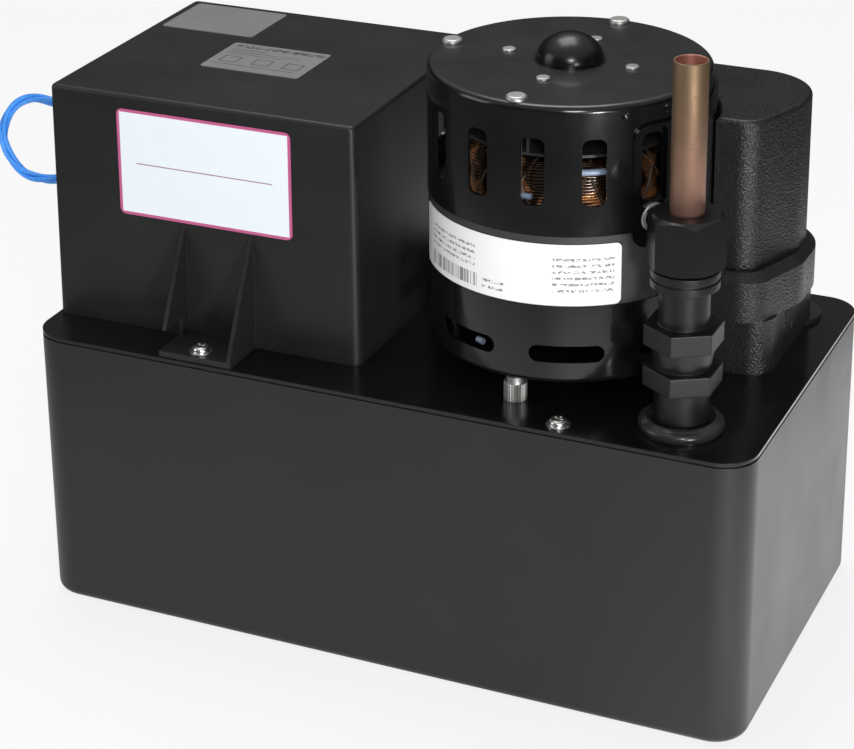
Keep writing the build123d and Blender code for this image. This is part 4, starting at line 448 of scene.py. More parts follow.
@dataclass(frozen=True)
class WireSheath:
    """Glossy coloured insulation on a thin wire."""

    name: str = "blue_sheath"
    colour: Colour = (0.03, 0.23, 0.80)
    pale: Colour = (0.09, 0.38, 0.95)

    def make(self) -> Material:
        """Return the material."""
        mix = Recipe(self.name)
        cloud = mix.noise(7.0, 3.0, 0.5)
        mix.bump(mix.noise(1.0, 3.0, 0.5), 0.02, 0.4)
        return mix.paint(mix.blend(cloud, self.colour, self.pale), 0.36 + cloud * 0.12)


class Layout(Enum):
    """Which plain printed layout a label carries."""

    FRAMED = "framed"
    SILVER = "silver"
    BAND = "band"


@dataclass(frozen=True)
class PrintedLabel:
    """A film label with ruled frames and blank fields, and no lettering."""

    name: str
    layout: Layout
    centre: Point
    size: tuple[float, float]
    across: Point
    up: Point
    radius: float = 0.0
    middle: float = -98.0

    def uv(self, mix: Recipe) -> tuple[Wire, Wire]:
        """Distances across and up the label from its middle, in millimetres."""
        x, y, z = mix.axes()
        dx, dy, dz = x - self.centre[0], y - self.centre[1], z - self.centre[2]
        if self.radius:
            turn = mix.maths("ARCTAN2", dy, dx)
            return (turn - math.radians(self.middle)) * self.radius, dz
        right = dx * self.across[0] + dy * self.across[1]
        return right, dy * self.up[1] + dz * self.up[2] + dx * self.up[0]

    def bar(self, mix: Recipe, u: Wire, v: Wire, box: tuple[float, float, float, float]) -> Wire:
        """1 inside a rectangle of the label."""
        left, low, right, high = box
        soft = 0.12
        inside = mix.step(u, left - soft, left + soft) * mix.step(u, right - soft, right + soft, 1.0, 0.0)
        return inside * mix.step(v, low - soft, low + soft) * mix.step(v, high - soft, high + soft, 1.0, 0.0)

    def frame(self, mix: Recipe, u: Wire, v: Wire, inset: float, width: float) -> Wire:
        """1 on a ruled frame inside the label's edge."""
        half_u, half_v = self.size[0] / 2 - inset, self.size[1] / 2 - inset
        away = mix.most(abs(u) - half_u, abs(v) - half_v)
        return mix.step(abs(away), width * 0.5, width * 0.5 + 0.15, 1.0, 0.0)

    def corner(self, mix: Recipe, u: Wire, v: Wire, radius: float) -> Wire:
        """1 beyond the rounded corners of the label."""
        over_u = mix.most(abs(u) - (self.size[0] / 2 - radius), 0.0)
        over_v = mix.most(abs(v) - (self.size[1] / 2 - radius), 0.0)
        return mix.step((over_u * over_u + over_v * over_v) ** 0.5, radius - 0.08, radius + 0.08)

    def framed(self, mix: Recipe, u: Wire, v: Wire, cloud: Wire) -> tuple[Wire, Wire]:
        """White film with a coloured border and one rule across its middle."""
        ground = mix.blend(cloud * 0.3, (0.77, 0.83, 0.87), (0.70, 0.76, 0.80))
        rule = self.bar(mix, u, v, (-35.0, -0.22, 35.0, 0.22))
        ruled = mix.blend(rule, ground, (0.22, 0.05, 0.12))
        return mix.blend(self.frame(mix, u, v, 0.6, 1.5), ruled, (0.50, 0.10, 0.24)), 0.34 + cloud * 0.1

    def silver(self, mix: Recipe, u: Wire, v: Wire, cloud: Wire) -> tuple[Wire, Wire]:
        """Silver film: a broken bar, rules and blank fields in front, faint lines on the label behind."""
        ground = mix.blend(cloud, (0.42, 0.42, 0.42), (0.33, 0.33, 0.33))
        ink = self.bar(mix, u, v, (-24.0, 12.4, 24.0, 15.6)) * mix.step(mix.noise(1.6, 3.0, 0.6), 0.42, 0.56)
        for low, right in ((9.0, -4.0), (6.0, 14.0), (3.0, 8.0), (-12.0, 20.0)):
            ink = mix.most(ink, self.bar(mix, u, v, (-23.0, low, right, low + 0.5)))
        for left in (-21.0, -4.0, 12.0):
            outside = self.bar(mix, u, v, (left, -8.6, left + 9.0, -0.4))
            inside = self.bar(mix, u, v, (left + 0.6, -8.0, left + 8.4, -1.0))
            ink = mix.most(ink, outside - inside)
        _, y, _ = mix.axes()
        behind = mix.step(abs(y - 50.0), 17.0, 21.0, 1.0, 0.0)
        broken = mix.step(mix.noise(5.0, 4.0, 0.6), 0.44, 0.52)
        lines = mix.step(abs((y / 2.6) % 1.0 - 0.5), 0.36, 0.44) * broken * behind
        return mix.blend(ink * 0.85 + lines * 0.22, ground, (0.04, 0.04, 0.04)), 0.38 + cloud * 0.15

    def band(self, mix: Recipe, u: Wire, v: Wire, cloud: Wire) -> tuple[Wire, Wire]:
        """White film with rows of broken bars, a ruled strip and rounded corners."""
        ground = mix.blend(cloud * 0.4, (0.84, 0.84, 0.83), (0.76, 0.76, 0.75))
        broken = mix.step(mix.noise(1.1, 2.0, 0.5), 0.46, 0.54)
        rows = mix.step(abs((v / 2.9) % 1.0 - 0.5), 0.17, 0.25, 1.0, 0.0) * broken
        fields = self.bar(mix, u, v, (25.0, -9.2, 52.0, 8.2)) + self.bar(mix, u, v, (-46.0, -3.4, -12.0, 8.2))
        fields = mix.maths("MINIMUM", fields + self.bar(mix, u, v, (-8.0, -12.0, 3.0, -6.4)), 1.0)
        upright = mix.step(mix.noise(0.5, 0.0, 0.5, mix.stretched((1.0, 1.0, 0.0))), 0.48, 0.52)
        strip = self.bar(mix, u, v, (-46.0, -11.5, -10.5, -5.2)) * upright
        tone = mix.blend(mix.most(rows * fields * 0.75, strip * 0.8), ground, (0.03, 0.03, 0.03))
        return mix.blend(self.corner(mix, u, v, 2.6), tone, (0.012, 0.012, 0.012)), 0.32 + cloud * 0.12

    def make(self) -> Material:
        """Return the material."""
        metal = 0.8 if self.layout is Layout.SILVER else 0.0
        mix = Recipe(self.name, metallic=metal, coat=0.25, coat_rough=0.1)
        u, v = self.uv(mix)
        cloud = mix.noise(20.0, 3.0, 0.5)
        printed = {Layout.FRAMED: self.framed, Layout.SILVER: self.silver, Layout.BAND: self.band}
        tone, rough = printed[self.layout](mix, u, v, cloud)
        mix.bump(mix.step(mix.noise(0.8, 4.0, 0.7), 0.66, 0.8), 0.01, 0.3)
        return mix.paint(tone, rough)


# Modelling bench


class Bench:
    """Models pieces with Blender's own operators. Sizes are in millimetres."""

    def __init__(self) -> None:
        """Start with no CAD nodes at hand."""
        self.nodes: dict[str, Piece] = {}

    def clear(self) -> None:
        """Leave edit mode and deselect everything."""
        if bpy.context.mode != "OBJECT":
            bpy.ops.object.mode_set(mode="OBJECT")
        bpy.ops.object.select_all(action="DESELECT")

    def hold(self, piece: Piece) -> None:
        """Select one piece alone and make it active."""
        self.clear()
        piece.select_set(True)
        bpy.context.view_layer.objects.active = piece

    def take(self, name: str) -> Piece:
        """Name the primitive that was just added and settle its place into its mesh."""
        made = bpy.context.object
        made.name = name
        made.data.name = name
        bpy.ops.object.transform_apply(location=True, rotation=True, scale=True)
        return made

    def stand(self, name: str, data: Any) -> Piece:
        """Put data in the scene as an object."""
        made = bpy.data.objects.new(name, data)
        bpy.context.scene.collection.objects.link(made)
        return made

    def block(self, name: str, low: Point, high: Point) -> Piece:
        """A box between two corners."""
        self.clear()
        centre = [(a + b) / 2 * MM for a, b in zip(low, high)]
        bpy.ops.mesh.primitive_cube_add(size=1.0, location=centre)
        bpy.context.object.scale = [(b - a) * MM for a, b in zip(low, high)]
        return self.take(name)

    def drum(self, name: str, centre: Point, radius: float, height: float, sides: int) -> Piece:
        """An upright cylinder about a point."""
        self.clear()
        bpy.ops.mesh.primitive_cylinder_add(
            vertices=sides, radius=radius * MM, depth=height * MM, location=[c * MM for c in centre],
        )
        return self.take(name)

    def hoop(
        self, name: str, radius: float, wire: float, centre: Point = (0, 0, 0), turn: Point = (0, 0, 0),
        steps: int = 72, sides: int = 7,
    ) -> Piece:
        """A ring of round wire about a point, turned by angles in radians."""
        self.clear()
        bpy.ops.mesh.primitive_torus_add(
            major_radius=radius * MM, minor_radius=wire * MM, major_segments=steps, minor_segments=sides,
            location=[c * MM for c in centre], rotation=turn,
        )
        return self.take(name)

    @contextmanager
    def editing(self, piece: Piece, mode: str = "FACE") -> Iterator[None]:
        """Edit mode on one piece with nothing selected."""
        self.hold(piece)
        bpy.ops.object.mode_set(mode="EDIT")
        bpy.ops.mesh.select_mode(type=mode)
        bpy.ops.mesh.select_all(action="DESELECT")
        try:
            yield
        finally:
            bpy.ops.object.mode_set(mode="OBJECT")

    def pick(self, piece: Piece, kind: str, test: Callable[[Any], bool]) -> int:
        """Select the verts, edges or faces that pass a test, in edit mode.

        Args:
            piece: the piece in edit mode.
            kind: "verts", "edges" or "faces".
            test: called with each element.

        Returns:
            How many were selected.
        """
        mesh = bmesh.from_edit_mesh(piece.data)
        mesh.normal_update()
        count = 0
        for seq in (mesh.verts, mesh.edges, mesh.faces):
            for item in seq:
                item.select = False
        for item in getattr(mesh, kind):
            if test(item):
                item.select_set(True)
                count += 1
        mesh.select_flush_mode()
        bmesh.update_edit_mesh(piece.data)
        return count

    def bevel(self, piece: Piece, width: float, segments: int, test: Callable[[Any], bool]) -> None:
        """Round the edges that pass a test."""
        with self.editing(piece, "EDGE"):
            if self.pick(piece, "edges", test):
                bpy.ops.mesh.bevel(offset=width * MM, segments=segments, affect="EDGES", profile=0.5)

    def modify(self, piece: Piece, kind: str, **settings: Any) -> None:
        """Add a modifier, set it and apply it."""
        self.hold(piece)
        made = piece.modifiers.new(kind.title(), kind)
        for key, value in settings.items():
            setattr(made, key, value)
        bpy.ops.object.modifier_apply(modifier=made.name)

    def cut(self, piece: Piece, cutters: Sequence[Piece]) -> None:
        """Cut shapes out of a piece."""
        tool = self.join(list(cutters), "cutter") if len(cutters) > 1 else cutters[0]
        self.modify(piece, "BOOLEAN", operation="DIFFERENCE", solver="EXACT", object=tool, use_self=True)
        bpy.data.objects.remove(tool)

    def join(self, parts: Sequence[Piece], name: str) -> Piece:
        """Join pieces into the first one."""
        self.clear()
        for part in parts:
            part.select_set(True)
        bpy.context.view_layer.objects.active = parts[0]
        if len(parts) > 1:
            bpy.ops.object.join()
        parts[0].name = name
        parts[0].data.name = name
        return parts[0]

    def tidy(self, piece: Piece, gap: float = 0.005) -> None:
        """Merge doubles and turn the faces outwards."""
        with self.editing(piece, "VERT"):
            bpy.ops.mesh.select_all(action="SELECT")
            bpy.ops.mesh.remove_doubles(threshold=gap * MM)
            bpy.ops.mesh.normals_make_consistent(inside=False)

    def lifted(self, node: str, name: str, width: float, segments: int = 2, angle: float = 32.0) -> Piece:
        """A copy of a CAD node's shape with its sharp edges broken.

        Args:
            node: the node.
            name: the new piece's name.
            width: the width of the broken edge.
            segments: steps across it.
            angle: the least angle of an edge that is broken, in degrees.

        Returns:
            The piece.
        """
        piece = self.stand(name, self.nodes[node].data.copy())
        piece.data.name = name
        with self.editing(piece, "VERT"):
            bpy.ops.mesh.select_all(action="SELECT")
            bpy.ops.mesh.customdata_custom_splitnormals_clear()
            bpy.ops.mesh.remove_doubles(threshold=0.005 * MM)
            bpy.ops.mesh.dissolve_limited(angle_limit=math.radians(0.6))
        self.modify(
            piece, "BEVEL", width=width * MM, segments=segments, limit_method="ANGLE",
            angle_limit=math.radians(angle), use_clamp_overlap=True, harden_normals=False,
        )
        self.smooth(piece, 32.0)
        self.modify(piece, "WEIGHTED_NORMAL", keep_sharp=True)
        return piece

    def smooth(self, piece: Piece, angle: float = 35.0) -> None:
        """Shade smooth up to an angle in degrees."""
        self.hold(piece)
        bpy.ops.object.shade_smooth_by_angle(angle=math.radians(angle))

    def turned(
        self, name: str, profile: Sequence[tuple[float, float]], x: float = 0.0, y: float = 0.0, steps: int = 96,
    ) -> Piece:
        """Spin a profile of (radius, height) points about a vertical axis.

        Args:
            name: the piece's name.
            profile: points in order; the first is repeated at the end for a ring.
            x: the axis's place.
            y: the axis's place.
            steps: steps in a full turn.

        Returns:
            The closed piece.
        """
        self.clear()
        bpy.ops.mesh.primitive_plane_add(size=1 * MM, location=(0, 0, 0))
        piece = bpy.context.object
        with self.editing(piece, "VERT"):
            self.pick(piece, "verts", lambda v: v.index != 0)
            bpy.ops.mesh.delete(type="VERT")
            self.pick(piece, "verts", lambda v: True)
            mesh = bmesh.from_edit_mesh(piece.data)
            mesh.verts.ensure_lookup_table()
            start = mesh.verts[0].co.copy()
            goal = Vector((x + profile[0][0], y, profile[0][1])) * MM
            bpy.ops.transform.translate(value=goal - start)
            for (r0, z0), (r1, z1) in zip(profile, profile[1:]):
                step = Vector((r1 - r0, 0, z1 - z0)) * MM
                bpy.ops.mesh.extrude_region_move(TRANSFORM_OT_translate={"value": step})
            bpy.ops.mesh.select_all(action="SELECT")
            bpy.ops.mesh.spin(steps=steps, angle=2 * math.pi, center=(x * MM, y * MM, 0), axis=(0, 0, 1))
        piece.name = name
        piece.data.name = name
        self.tidy(piece)
        return piece

    def copies(self, piece: Piece, moves: Sequence[Matrix]) -> list[Piece]:
        """Copies of a piece, each with its own mesh, moved by matrices in metres."""
        made = []
        for k, move in enumerate(moves):
            self.hold(piece)
            bpy.ops.object.duplicate()
            copy = bpy.context.object
            copy.matrix_world = move
            bpy.ops.object.transform_apply(location=True, rotation=True, scale=True)
            copy.name = f"{piece.name}_{k}"
            made.append(copy)
        bpy.data.objects.remove(piece)
        return made


def arc(cx: float, cz: float, radius: float, start: float, end: float, count: int) -> list[tuple[float, float]]:
    """Points on an arc of a profile, angles in degrees."""
    turns = [math.radians(start + (end - start) * k / count) for k in range(count + 1)]
    return [(cx + radius * math.cos(t), cz + radius * math.sin(t)) for t in turns]


def shift(x: float, y: float, z: float) -> Matrix:
    """A move in millimetres."""
    return Matrix.Translation(Vector((x, y, z)) * MM)


BENCH = Bench()


# Finishes of this object


class Shop:
    """Every finish on the pump, made once and given to nodes and pieces by name."""

    def __init__(self) -> None:
        """Make the materials."""
        self.labels = LabelSizes()
        recipes: list[Any] = [
            Moulded("tank_plastic", (0.010, 0.010, 0.0105), (0.022, 0.022, 0.0235), 0.40, 0.5, 0.02, 0.12),
            Moulded("cover_plastic", (0.009, 0.009, 0.0095), (0.024, 0.024, 0.0255), 0.40, 0.7, 0.03, 0.2),
            Enamel("lid_paint", (0.002, 0.002, 0.0022), 0.2, 0.015, 0.1, 0.08),
            # Above 278.6 mm the motor paint is painted lighter: painted top light.
            Enamel("motor_paint", (0.0018, 0.0018, 0.002), 0.17, 0.03, 0.25, 0.10, 278.6),
            Enamel("cap_paint", (0.0018, 0.0018, 0.002), 0.26, 0.03, 0.1, 0.12),
            Laminated("stator_steel", (0.035, 0.035, 0.037)),
            Plated("zinc", (0.72, 0.72, 0.70), (0.34, 0.33, 0.30), 0.28),
            Plated("dull_zinc", (0.50, 0.50, 0.49), (0.30, 0.30, 0.28), 0.48, size=0.9),
            Plated("steel", (0.56, 0.56, 0.55), (0.30, 0.29, 0.28), 0.32, (1.0, 1.0, 8.0)),
            Plated("aluminium", (0.74, 0.74, 0.75), (0.5, 0.5, 0.5), 0.4, size=0.8, relief=0.04),
            Plated("bronze", (0.60, 0.40, 0.18), (0.30, 0.19, 0.08), 0.35),
            Plated("brass", (0.76, 0.56, 0.25), (0.42, 0.28, 0.10), 0.28),
            AgedCopper(),
            EnamelledWire(),
            Rubber("rubber"),
            Moulded("gloss_rubber", (0.016, 0.016, 0.016), (0.032, 0.032, 0.033), 0.26, 0.8, 0.01, 0.15),
            Moulded("lacing_cord", (0.03, 0.02, 0.015), (0.10, 0.07, 0.045), 0.5, 0.5, 0.03),
            Moulded("lead_sleeve", (0.16, 0.22, 0.33), (0.50, 0.60, 0.72), 0.2, 1.2, 0.02, 0.5),
            Rubber("gasket_foam", (0.02, 0.02, 0.02), 0.6, 0.8),
            WireSheath(),
            Moulded("fitting_plastic", (0.004, 0.004, 0.0045), (0.014, 0.014, 0.015), 0.36, 0.5, 0.02, 0.2),
            Moulded("nut_plastic", (0.005, 0.005, 0.0055), (0.016, 0.016, 0.017), 0.24, 0.6, 0.015, 0.2),
            Moulded("pump_plastic", (0.03, 0.03, 0.032), (0.06, 0.06, 0.06), 0.5),
            Moulded("float_plastic", (0.74, 0.72, 0.66), (0.82, 0.81, 0.77), 0.5, 1.8, 0.06, 0.3),
            Moulded("white_plastic", (0.72, 0.71, 0.66), (0.82, 0.81, 0.78), 0.4),
            Moulded("switch_plastic", (0.025, 0.025, 0.026), (0.05, 0.05, 0.05), 0.4),
            Moulded("red_plastic", (0.52, 0.03, 0.02), (0.64, 0.06, 0.04), 0.35),
            Crinkle("capacitor_plastic", (0.008, 0.008, 0.0085), (0.03, 0.03, 0.031), 0.29, 0.95, 0.26),
            self.labels.front(),
            self.labels.top(),
            self.labels.motor(),
        ]
        self.stock: dict[str, Material] = {recipe.name: recipe.make() for recipe in recipes}

    def dress(self, piece: Piece, finish: str) -> Piece:
        """Give a piece one finish."""
        piece.data.materials.clear()
        piece.data.materials.append(self.stock[finish])
        return piece


@dataclass(frozen=True)
class LabelSizes:
    """Where the labels lie, as the CAD nodes place them."""

    def front(self) -> PrintedLabel:
        """The framed label on the cover's front."""
        low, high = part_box("front_label")
        mid = (low + high) / 2 / MM
        size = (high - low) / MM
        wide = (size.x, size.z)
        return PrintedLabel("front_label_film", Layout.FRAMED, tuple(mid), wide, (1, 0, 0), (0, 0, 1))

    def top(self) -> PrintedLabel:
        """The two silver labels on the cover's top, ruled about the middle of the front one."""
        _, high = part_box("rating_labels")
        spot = (-95.3, 3.0, high.z / MM)
        return PrintedLabel("top_label_film", Layout.SILVER, spot, (51.5, 37.0), (1, 0, 0), (0, 1, 0))

    def motor(self) -> PrintedLabel:
        """The long label round the stator."""
        low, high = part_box("motor_label")
        spot = (MOTOR_X, MOTOR_Y, (low.z + high.z) / 2 / MM)
        size = (110.5, 28.5)
        return PrintedLabel("motor_label_film", Layout.BAND, spot, size, (1, 0, 0), (0, 0, 1), MOTOR_RADIUS)


NODES_BY_FINISH: dict[str, tuple[str, ...]] = {
    "tank_plastic": ("tank",),
    "gasket_foam": ("lid_gasket",),
    "lid_paint": ("lid",),
    "zinc": ("lid_screws", "pump_screws", "box_screws", "saddle_screws"),
    "cover_plastic": ("control_box_cover",),
    "front_label_film": ("front_label",),
    "top_label_film": ("rating_labels",),
    "rubber": ("wire_grommets", "slinger", "discharge_grommet", "inlet_grommet"),
    "blue_sheath": ("alarm_wire_loop",),
    "fitting_plastic": ("cable_gland", "gland_locknut", "check_valve_body", "check_valve_cap"),
    "motor_paint": ("motor_upper_shell", "motor_lower_shell", "saddle_bracket"),
    "stator_steel": ("stator_core",),
    "winding_copper": ("stator_winding",),
    "steel": (
        "bearing_retainer", "shaft", "rotor", "check_spring", "switch_lever", "lever_pin",
        "switch_bracket",
    ),
    "bronze": ("motor_bearings",),
    "cap_paint": ("bearing_cap",),
    "dull_zinc": ("retainer_rivets", "motor_bolts", "motor_spacers", "bolt_nuts"),
    "motor_label_film": ("motor_label",),
    # The cooling fan, an aluminium part, is dressed in dark plastic: painted shade inside the motor's upper
    # slots.
    "switch_plastic": ("cooling_fan", "pump_switch", "alarm_switch"),
    "pump_plastic": ("impeller", "volute_housing", "suction_cover", "pump_column", "riser_pipe"),
    "white_plastic": ("check_poppet", "float_rod", "float_guide", "terminal_block"),
    "aged_copper": ("copper_tube",),
    "brass": ("compression_olive", "terminal_clamps"),
    "nut_plastic": ("compression_nut",),
    "float_plastic": ("float",),
    "red_plastic": ("pump_switch_plunger", "alarm_switch_plunger"),
    "capacitor_plastic": ("capacitor_base", "capacitor_cover"),
    "aluminium": ("run_capacitor",),
}


# The alarm wires


@dataclass
class AlarmWires:
    """Three blue wires laid together, out of the cover and back into it. Sizes in metres."""

    route: tuple[Point, ...] = (
        (-0.1715, -0.0360, 0.2325), (-0.1860, -0.0361, 0.2328), (-0.2000, -0.0368, 0.2344),
        (-0.2114, -0.0378, 0.2292), (-0.2182, -0.0382, 0.2175), (-0.2178, -0.0378, 0.2046),
        (-0.2110, -0.0368, 0.1950), (-0.1996, -0.0358, 0.1912), (-0.1860, -0.0352, 0.1947),
        (-0.1715, -0.0350, 0.1950),
    )
    length: float = 0.1181
    diameter: float = 0.0045
    strands: int = 3
    strand_radius: float = 0.00118
    lay_radius: float = 0.00128
    pitch: float = 0.064

    def spine(self) -> list[Vector]:
        """Read the smooth line of the route.

        Returns:
            Points along the route's spline.
        """
        curve = bpy.data.curves.new("alarm_wire_route", "CURVE")
        curve.dimensions = "3D"
        curve.resolution_u = 16
        spline = curve.splines.new("NURBS")
        spline.points.add(len(self.route) - 1)
        for point, place in zip(spline.points, self.route):
            point.co = (*place, 1.0)
        spline.order_u = 3
        spline.use_endpoint_u = True
        carrier = BENCH.stand("alarm_wire_route", curve)
        line = bpy.data.meshes.new_from_object(carrier)
        points = [vertex.co.copy() for vertex in line.vertices]
        bpy.data.meshes.remove(line)
        bpy.data.objects.remove(carrier)
        return points

    def strand(self, spine: Sequence[Vector], start: float) -> Piece:
        """One wire that winds round the spine.

        Args:
            spine: the points of the route's line.
            start: the angle at which it starts, in radians.

        Returns:
            The wire as a mesh.
        """
        curve = bpy.data.curves.new("alarm_strand", "CURVE")
        curve.dimensions = "3D"
        curve.bevel_depth = self.strand_radius
        curve.bevel_resolution = 3
        curve.use_fill_caps = True
        spline = curve.splines.new("POLY")
        spline.points.add(len(spine) - 1)
        run = 0.0
        for k, here in enumerate(spine):
            along = spine[min(k + 1, len(spine) - 1)] - spine[max(k - 1, 0)]
            if k:
                run += (here - spine[k - 1]).length
            side = along.cross(Vector((0, 1, 0))).normalized()
            turn = start + 2 * math.pi * run / self.pitch
            loose = self.lay_radius * (1.0 + 0.12 * math.sin(run * 210.0 + start))
            out = side * math.cos(turn) + side.cross(along).normalized() * math.sin(turn)
            spline.points[k].co = (*(here + out * loose), 1.0)
        BENCH.hold(BENCH.stand("alarm_strand", curve))
        bpy.ops.object.convert(target="MESH")
        return bpy.context.object

    def build(self) -> Piece:
        """Returns:
            The bundle.
        """
        spine = self.spine()
        wires = [self.strand(spine, k * 2 * math.pi / self.strands) for k in range(self.strands)]
        bundle = BENCH.join(wires, "alarm_wires")
        BENCH.tidy(bundle, 0.001)
        BENCH.smooth(bundle, 60.0)
        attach(bundle, "frame")
        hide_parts("alarm_wire_loop")
        LOG.info("alarm_wires: %d strands", self.strands)
        return bundle


# Sub-assemblies


@dataclass
class Assembly:
    """What every sub-assembly can do with a finished piece."""

    shop: "Shop"

    def mount(
        self, piece: Piece, finish: str, slot: str, nodes: Sequence[str] = (), body: str = "frame",
    ) -> None:
        """Dress a piece, set it on its body, hide the nodes that it replaces and log it.

        Args:
            piece: the finished piece.
            finish: the finish's name.
            slot: not used.
            nodes: CAD nodes that the piece replaces.
            body: the body that it rides on.
        """
        self.shop.dress(piece, finish)
        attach(piece, body)
        if nodes:
            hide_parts(*nodes)
        LOG.info("%s: %d faces on %s", piece.name, len(piece.data.polygons), body)

    def eased(self, node: str, name: str, width: float, finish: str, slot: str, segments: int = 2) -> None:
        """Replace a node by its own shape with broken edges."""
        self.mount(BENCH.lifted(node, name, width, segments), finish, slot, [node])


@dataclass
class CrossScrew:
    """A pan head screw with a cross recess and a washer."""

    head: float = 4.1
    rise: float = 2.4
    shank: float = 2.0
    length: float = 14.0
    recess: float = 2.5
    washer: float = 5.4
    washer_rise: float = 0.8

    def build(self, name: str) -> Piece:
        """Model one screw whose seat is at the origin.

        Args:
            name: the piece's name.

        Returns:
            The screw.
        """
        lift = self.washer_rise if self.washer else 0.0
        top = lift + self.rise
        outline = [
            (0.0, -self.length), (self.shank * 0.45, -self.length + 0.4), (self.shank, -self.length + 2.6),
            (self.shank, lift - 0.05), (self.head, lift), (self.head, lift + 0.35 * self.rise),
            (self.head * 0.95, lift + 0.62 * self.rise), (self.head * 0.80, lift + 0.85 * self.rise),
            (self.head * 0.55, top - 0.04), (0.0, top),
        ]
        screw = BENCH.turned(name, outline, steps=40)
        arms = []
        for k in range(2):
            long, thin = (self.recess, 0.42) if k == 0 else (0.42, self.recess)
            arm = BENCH.block(f"arm_{k}", (-long, -thin, top - 1.3), (long, thin, top + 0.6))
            with BENCH.editing(arm):
                BENCH.pick(arm, "faces", lambda f: f.normal.z < -0.9)
                bpy.ops.transform.resize(value=(0.6, 0.6, 1.0))
            arms.append(arm)
        for arm in arms:
            BENCH.cut(screw, [arm])

        def rim(edge: Any) -> bool:
            """A sharp edge near the head's top."""
            high = (edge.verts[0].co.z + edge.verts[1].co.z) / 2 > (top - 0.3) * MM
            return high and edge.calc_length() > 0.3 * MM and edge.calc_face_angle(0.0) > 0.6

        BENCH.bevel(screw, 0.12, 1, rim)
        if self.washer:
            hole, outer = self.shank + 0.1, self.washer
            ring = [
                (hole, 0.0), (outer - 0.15, 0.0), (outer, 0.15), (outer, lift - 0.15), (outer - 0.2, lift),
                (hole, lift), (hole, 0.0),
            ]
            screw = BENCH.join([screw, BENCH.turned("washer", ring, steps=40)], name)
        BENCH.smooth(screw, 34.0)
        return screw


@dataclass
class TankSide(Assembly):
    """The tank, its lid and the four lid screws."""

    screw_x: float = 87.5
    screw_y: float = 84.5
    foot: float = 3.0

    def build(self) -> None:
        """Model the tank's pieces."""
        self.eased("tank", "tank_shell", 0.7, "tank_plastic", "tank_plastic", 3)
        self.eased("lid", "lid_plate", 0.35, "lid_paint", "lid_paint")
        screw = CrossScrew().build("lid_screw")
        moves = []
        for x in (-self.screw_x, self.screw_x):
            for y in (-self.screw_y, self.screw_y):
                seat = LID_TOP + (self.foot if x < 0 else 0.0)
                moves.append(shift(x, y, seat) @ Matrix.Rotation(0.4 + 0.01 * x, 4, "Z"))
        screws = BENCH.join(BENCH.copies(screw, moves), "lid_cross_screws")
        self.mount(screws, "zinc", "zinc", ["lid_screws"])


@dataclass
class ControlBox(Assembly):
    """The moulded cover, its grommets, gland and gland nut."""

    left: float = -174.6
    slope: float = math.tan(math.radians(0.8))
    exits: tuple[tuple[float, float], ...] = ((-36.0, 232.5), (-35.0, 195.0))
    lip: tuple[tuple[float, float], ...] = (
        (2.4, -3.4), (5.6, -3.4), (6.0, -3.1), (5.7, -2.55), (3.9, -2.5), (3.9, 0.0), (5.5, 0.0), (6.0, 0.2),
        (6.0, 0.5), (5.6, 0.8), (4.9, 0.9), (3.1, 0.9), (2.6, 0.7), (2.4, 0.3), (2.4, -3.4),
    )

    def grommets(self) -> None:
        """The two wire grommets on the left face."""
        ring = BENCH.turned("wire_grommet", self.lip, steps=48)
        BENCH.smooth(ring, 50.0)
        moves = []
        for y, z in self.exits:
            x = self.left + (z - LID_TOP) * self.slope
            moves.append(shift(x, y, z) @ Matrix.Rotation(math.radians(-90.8), 4, "Y"))
        pair = BENCH.join(BENCH.copies(ring, moves), "wire_grommet_rings")
        self.mount(pair, "rubber", "rubber", ["wire_grommets"])

    def build(self) -> None:
        """Model the cover's pieces."""
        self.eased("control_box_cover", "cover_shell", 0.55, "cover_plastic", "cover_plastic", 3)
        self.eased("cable_gland", "gland_body", 0.4, "fitting_plastic", "fitting_plastic")
        self.eased("gland_locknut", "gland_nut", 0.5, "fitting_plastic", "fitting_plastic")
        self.grommets()


